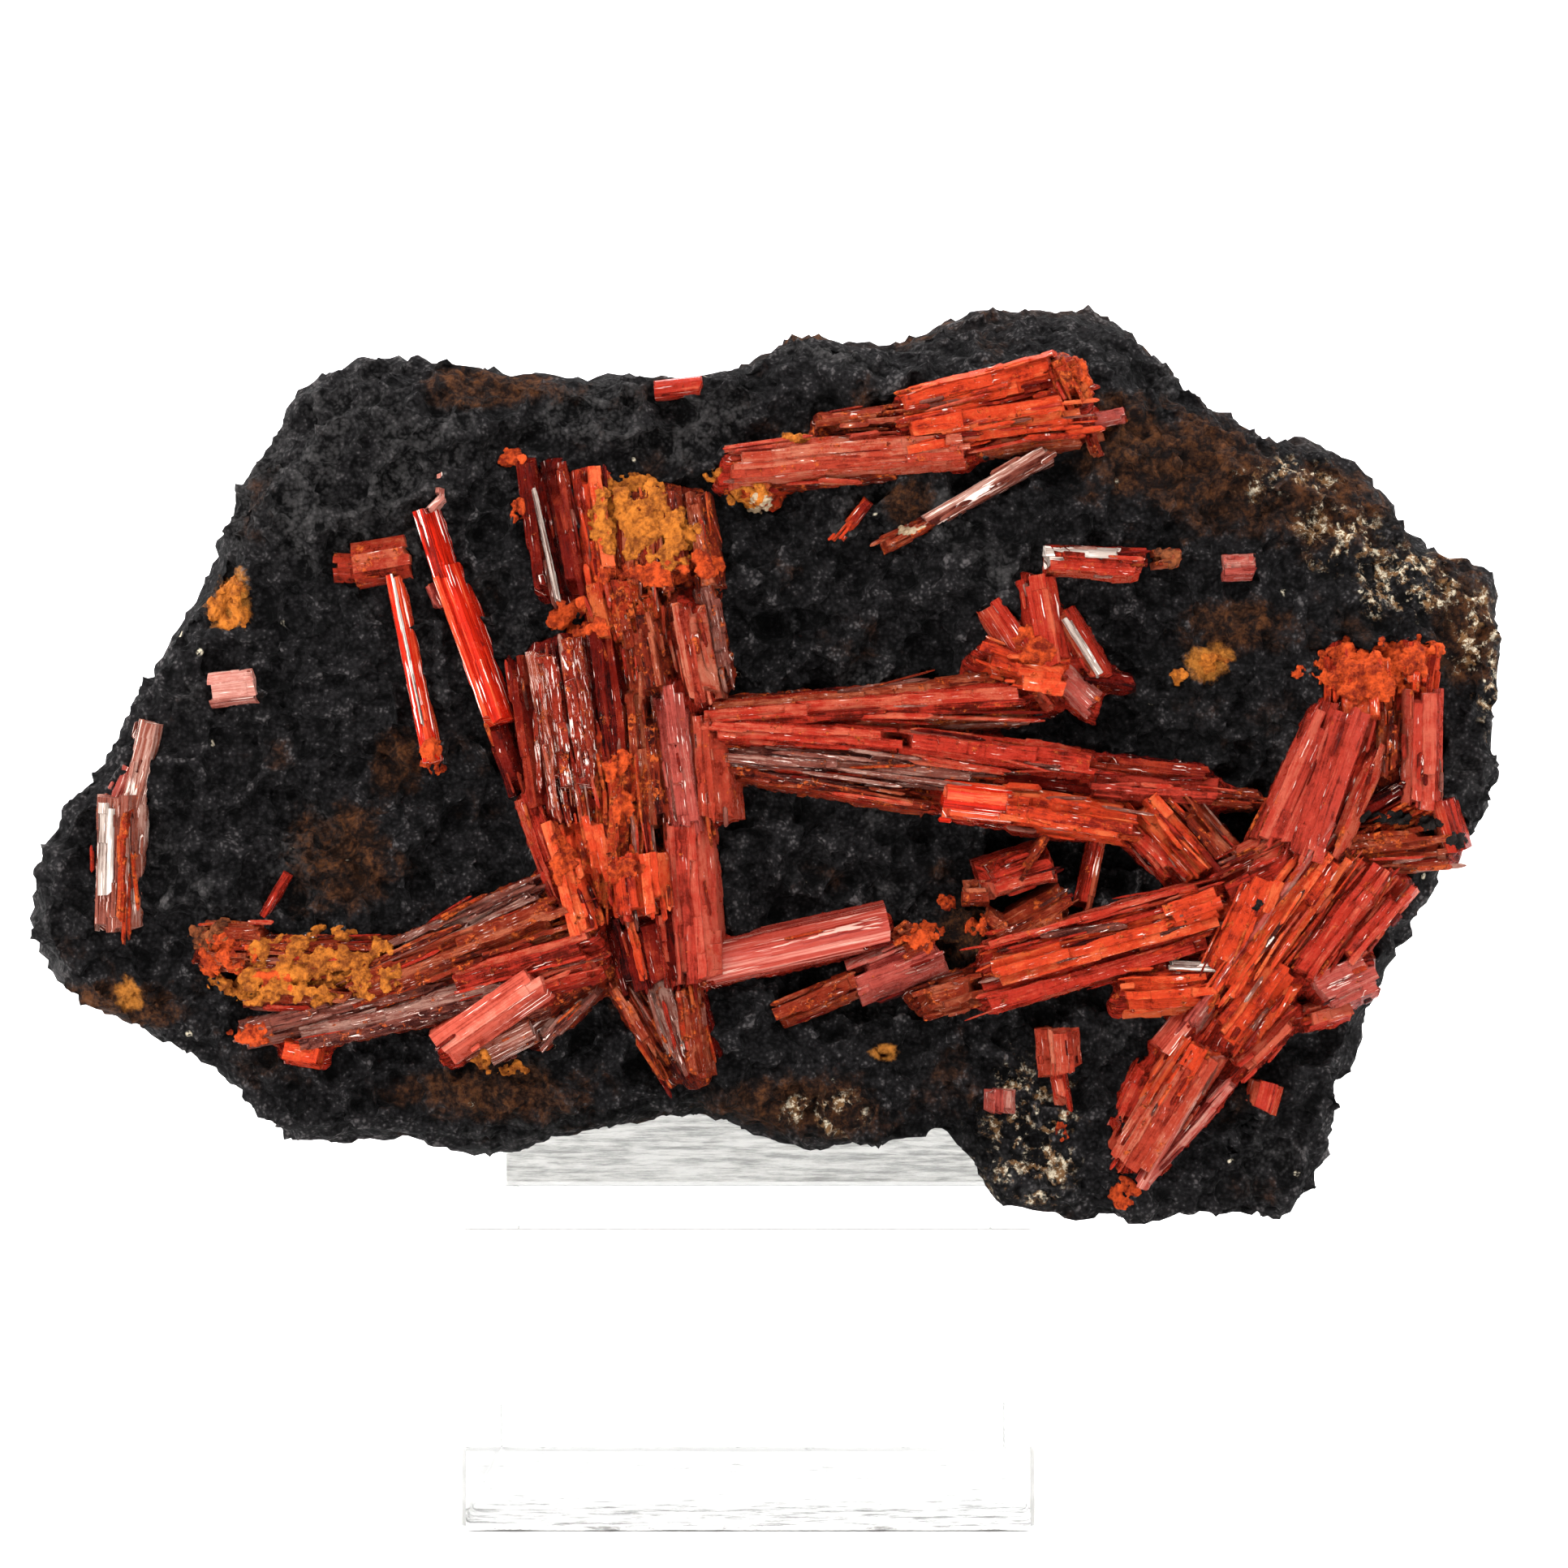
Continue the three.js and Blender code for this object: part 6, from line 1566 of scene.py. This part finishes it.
@dataclass
class AcrylicStand:
    """The stepped block: a low front and a riser behind, with softened edges.

    Its underside and the riser's front are sawn; the other faces are polished, and the
    softened front edges carry a grey line of painted shade. flat is the least cosine to an
    axis of a face that is no part of a softened edge.
    """

    seat: float = 21.0
    riser_front: float = 9.5
    edge: float = 0.35
    flat: float = 0.99

    def build(self) -> bpy.types.Object:
        """Builds the block."""
        low, high = (Vector(corner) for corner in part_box("acrylic_stand"))
        middle = (low + high) / 2
        deselect_all()
        bpy.ops.mesh.primitive_cube_add(size=1, location=(middle.x, middle.y, self.seat * MM / 2),
                                        scale=(high.x - low.x, high.y - low.y, self.seat * MM))
        piece = newest("acrylic_block")
        settle(piece)
        bpy.ops.object.mode_set(mode="EDIT")
        bpy.ops.mesh.select_all(action="SELECT")
        bpy.ops.mesh.bisect(plane_co=(0, self.riser_front * MM, 0), plane_no=(0, 1, 0))
        bpy.ops.object.mode_set(mode="OBJECT")
        select_faces(piece, lambda p: p.normal.z > FACING and p.center.y > self.riser_front * MM)
        bpy.ops.object.mode_set(mode="EDIT")
        rise = (0, 0, high.z - self.seat * MM)
        bpy.ops.mesh.extrude_region_move(TRANSFORM_OT_translate={"value": rise})
        bpy.ops.mesh.select_all(action="SELECT")
        bpy.ops.mesh.normals_make_consistent(inside=False)
        bpy.ops.object.mode_set(mode="OBJECT")
        bevel = piece.modifiers.new("edges", "BEVEL")
        bevel.width = self.edge * MM
        bevel.segments = 2
        bevel.limit_method = "ANGLE"
        apply_modifiers(piece)
        for cut in Cut:
            piece.data.materials.append(cut.value.material())
        cuts = list(Cut)
        for polygon in piece.data.polygons:
            polygon.material_index = cuts.index(self.cut_of(polygon))
        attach(piece, BODY)
        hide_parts("acrylic_stand")
        return piece

    def cut_of(self, polygon: bpy.types.MeshPolygon) -> Cut:
        """How a face of the block was finished, by where it looks and lies."""
        normal = polygon.normal
        if max(map(abs, normal)) < self.flat:
            # Forward-looking softened edges take the grey line of painted shade.
            return Cut.UNDERSIDE if normal.z < -0.1 else Cut.EDGE if normal.y < -0.1 else Cut.POLISHED
        if normal.z < -FACING:
            return Cut.UNDERSIDE
        if normal.y < -FACING and polygon.center.y > 0:
            return Cut.SAWN
        if normal.z > FACING and polygon.center.y < self.riser_front * MM:
            return Cut.SEAT
        return Cut.POLISHED


@dataclass(frozen=True)
class Softbox:
    """A rectangular soft light: where it hangs and looks, its width and height, and its watts."""

    name: str
    place: Triple
    aim: Triple
    size: tuple[float, float]
    power: float

    def hang(self) -> None:
        """Adds the light to the scene."""
        data = bpy.data.lights.new(self.name, "AREA")
        data.shape = "RECTANGLE"
        data.size, data.size_y = (side * MM for side in self.size)
        data.energy = self.power
        light = bpy.data.objects.new(self.name, data)
        bpy.context.scene.collection.objects.link(light)
        light.location = Vector(self.place) * MM
        light.rotation_euler = (Vector(self.place) - Vector(self.aim)).to_track_quat("Z", "Y").to_euler()


@dataclass
class Studio:
    """Pale paper sweep, soft lights and the camera.

    sky_levels are how bright the surroundings are before the part and above it, to all
    but the camera, and pitch is the camera's turn up from straight down, in degrees.
    """

    half_width: float = 900.0
    front: float = -700.0
    back: float = 420.0
    bend: float = 160.0
    bend_steps: int = 12
    height: float = 900.0
    drop: float = 0.1
    sky_levels: tuple[float, float] = (0.06, 0.9)
    sky_top: Triple = (0.0, 0.8, 0.6)
    lights: tuple[Softbox, ...] = (
        Softbox("side", (-330, -300, 90), (0, 0, 50), (110, 420), 2.85),
        Softbox("front_top", (20, -330, 380), (0, 0, 50), (420, 120), 3.3),
        Softbox("fill", (420, -330, 60), (10, 0, 50), (90, 260), 0.85),
        Softbox("top", (0, 20, 520), (0, 0, 50), (360, 200), 3.2),
        Softbox("left_wall", (-620, 120, 420), (-60, 480, 160), (300, 500), 9.5),
        Softbox("right_wall", (620, 120, 420), (60, 480, 160), (300, 500), 9.5),
    )
    lens: float = 85.3
    sensor: float = 36.0
    eye: Triple = (2.5, -288.0, 44.4)
    pitch: float = 91.68

    def build(self) -> None:
        """Builds the studio."""
        self.sweep()
        self.sky()
        for light in self.lights:
            light.hang()
        self.camera()

    def sweep(self) -> None:
        """Models the paper: a floor extruded up in a quarter bend behind the part."""
        deselect_all()
        middle = (self.front + self.back) / 2
        bpy.ops.mesh.primitive_plane_add(size=1, location=(0, middle * MM, -self.drop * MM))
        paper = newest("paper_sweep")
        paper.scale = (2 * self.half_width * MM, (self.back - self.front) * MM, 1)
        settle(paper)
        for part in (*paper.data.vertices, *paper.data.polygons):
            part.select = False
        for edge in paper.data.edges:
            edge.select = all(paper.data.vertices[i].co.y > (self.back - 1) * MM for i in edge.vertices)
        bpy.ops.object.mode_set(mode="EDIT")
        bpy.ops.mesh.select_mode(type="EDGE")
        bpy.ops.mesh.spin(steps=self.bend_steps, angle=math.pi / 2,
                          center=(0, self.back * MM, self.bend * MM), axis=(-1, 0, 0))
        bpy.ops.mesh.extrude_region_move(TRANSFORM_OT_translate={"value": (0, 0, self.height * MM)})
        bpy.ops.mesh.select_all(action="SELECT")
        bpy.ops.mesh.remove_doubles(threshold=WELD)
        bpy.ops.object.mode_set(mode="OBJECT")
        bpy.ops.object.shade_smooth()
        paper.data.materials.append(PaperFinish().material())

    def sky(self) -> None:
        """Lights the scene from all round: dim before the part, brighter above and behind it."""
        world = bpy.data.worlds.new("studio")
        world.use_nodes = True
        tree = world.node_tree
        coordinates = tree.nodes.new("ShaderNodeTexCoord")
        toward = tree.nodes.new("ShaderNodeVectorMath")
        toward.operation = "DOT_PRODUCT"
        toward.inputs[1].default_value = self.sky_top
        level = tree.nodes.new("ShaderNodeMapRange")
        level.interpolation_type = "SMOOTHSTEP"
        level.inputs["From Min"].default_value = -0.5
        level.inputs["To Min"].default_value, level.inputs["To Max"].default_value = self.sky_levels
        seen = tree.nodes.new("ShaderNodeLightPath")
        strength = tree.nodes.new("ShaderNodeMix")
        strength.inputs["B"].default_value = 1.0
        background = tree.nodes["Background"]
        background.inputs["Color"].default_value = (1.0, 1.0, 1.0, 1.0)
        tree.links.new(coordinates.outputs["Generated"], toward.inputs[0])
        tree.links.new(toward.outputs["Value"], level.inputs["Value"])
        tree.links.new(level.outputs["Result"], strength.inputs["A"])
        tree.links.new(seen.outputs["Is Camera Ray"], strength.inputs["Factor"])
        tree.links.new(strength.outputs["Result"], background.inputs["Strength"])
        bpy.context.scene.world = world

    def camera(self) -> None:
        """Places the camera before the slab's face, a little above the stand."""
        data = bpy.data.cameras.new("camera")
        data.lens = self.lens
        data.sensor_width = self.sensor
        data.clip_start = 0.01
        camera = bpy.data.objects.new("camera", data)
        bpy.context.scene.collection.objects.link(camera)
        camera.location = Vector(self.eye) * MM
        camera.rotation_euler = (math.radians(self.pitch), 0, 0)
        bpy.context.scene.camera = camera
        bpy.context.scene.view_settings.view_transform = "Standard"


def logged(piece: bpy.types.Object) -> bpy.types.Object:
    """Logs a finished piece and returns it."""
    LOG.info("%s: %d faces", piece.name, len(piece.data.polygons))
    return piece


def main() -> None:
    """Builds the studio and then the part, piece by piece."""
    logging.basicConfig(level=logging.INFO, format="%(name)s: %(message)s")
    Studio().build()
    solids = [logged(GoethiteSlab().build())]
    logged(AcrylicStand().build())
    blocks, splinters = BlockShop(), SplinterShop()
    splinters.build()
    for node, crystals in GROWTHS.items():
        solids.append(logged(Growth(node, crystals, blocks, splinters).build()))
    blocks.clear()
    splinters.clear()
    crumbs = CrumbShop()
    crumbs.build()
    for crust in Crust(crumbs, ground_of(solids)).build():
        logged(crust)
    crumbs.clear()


if __name__ == "__main__":
    main()
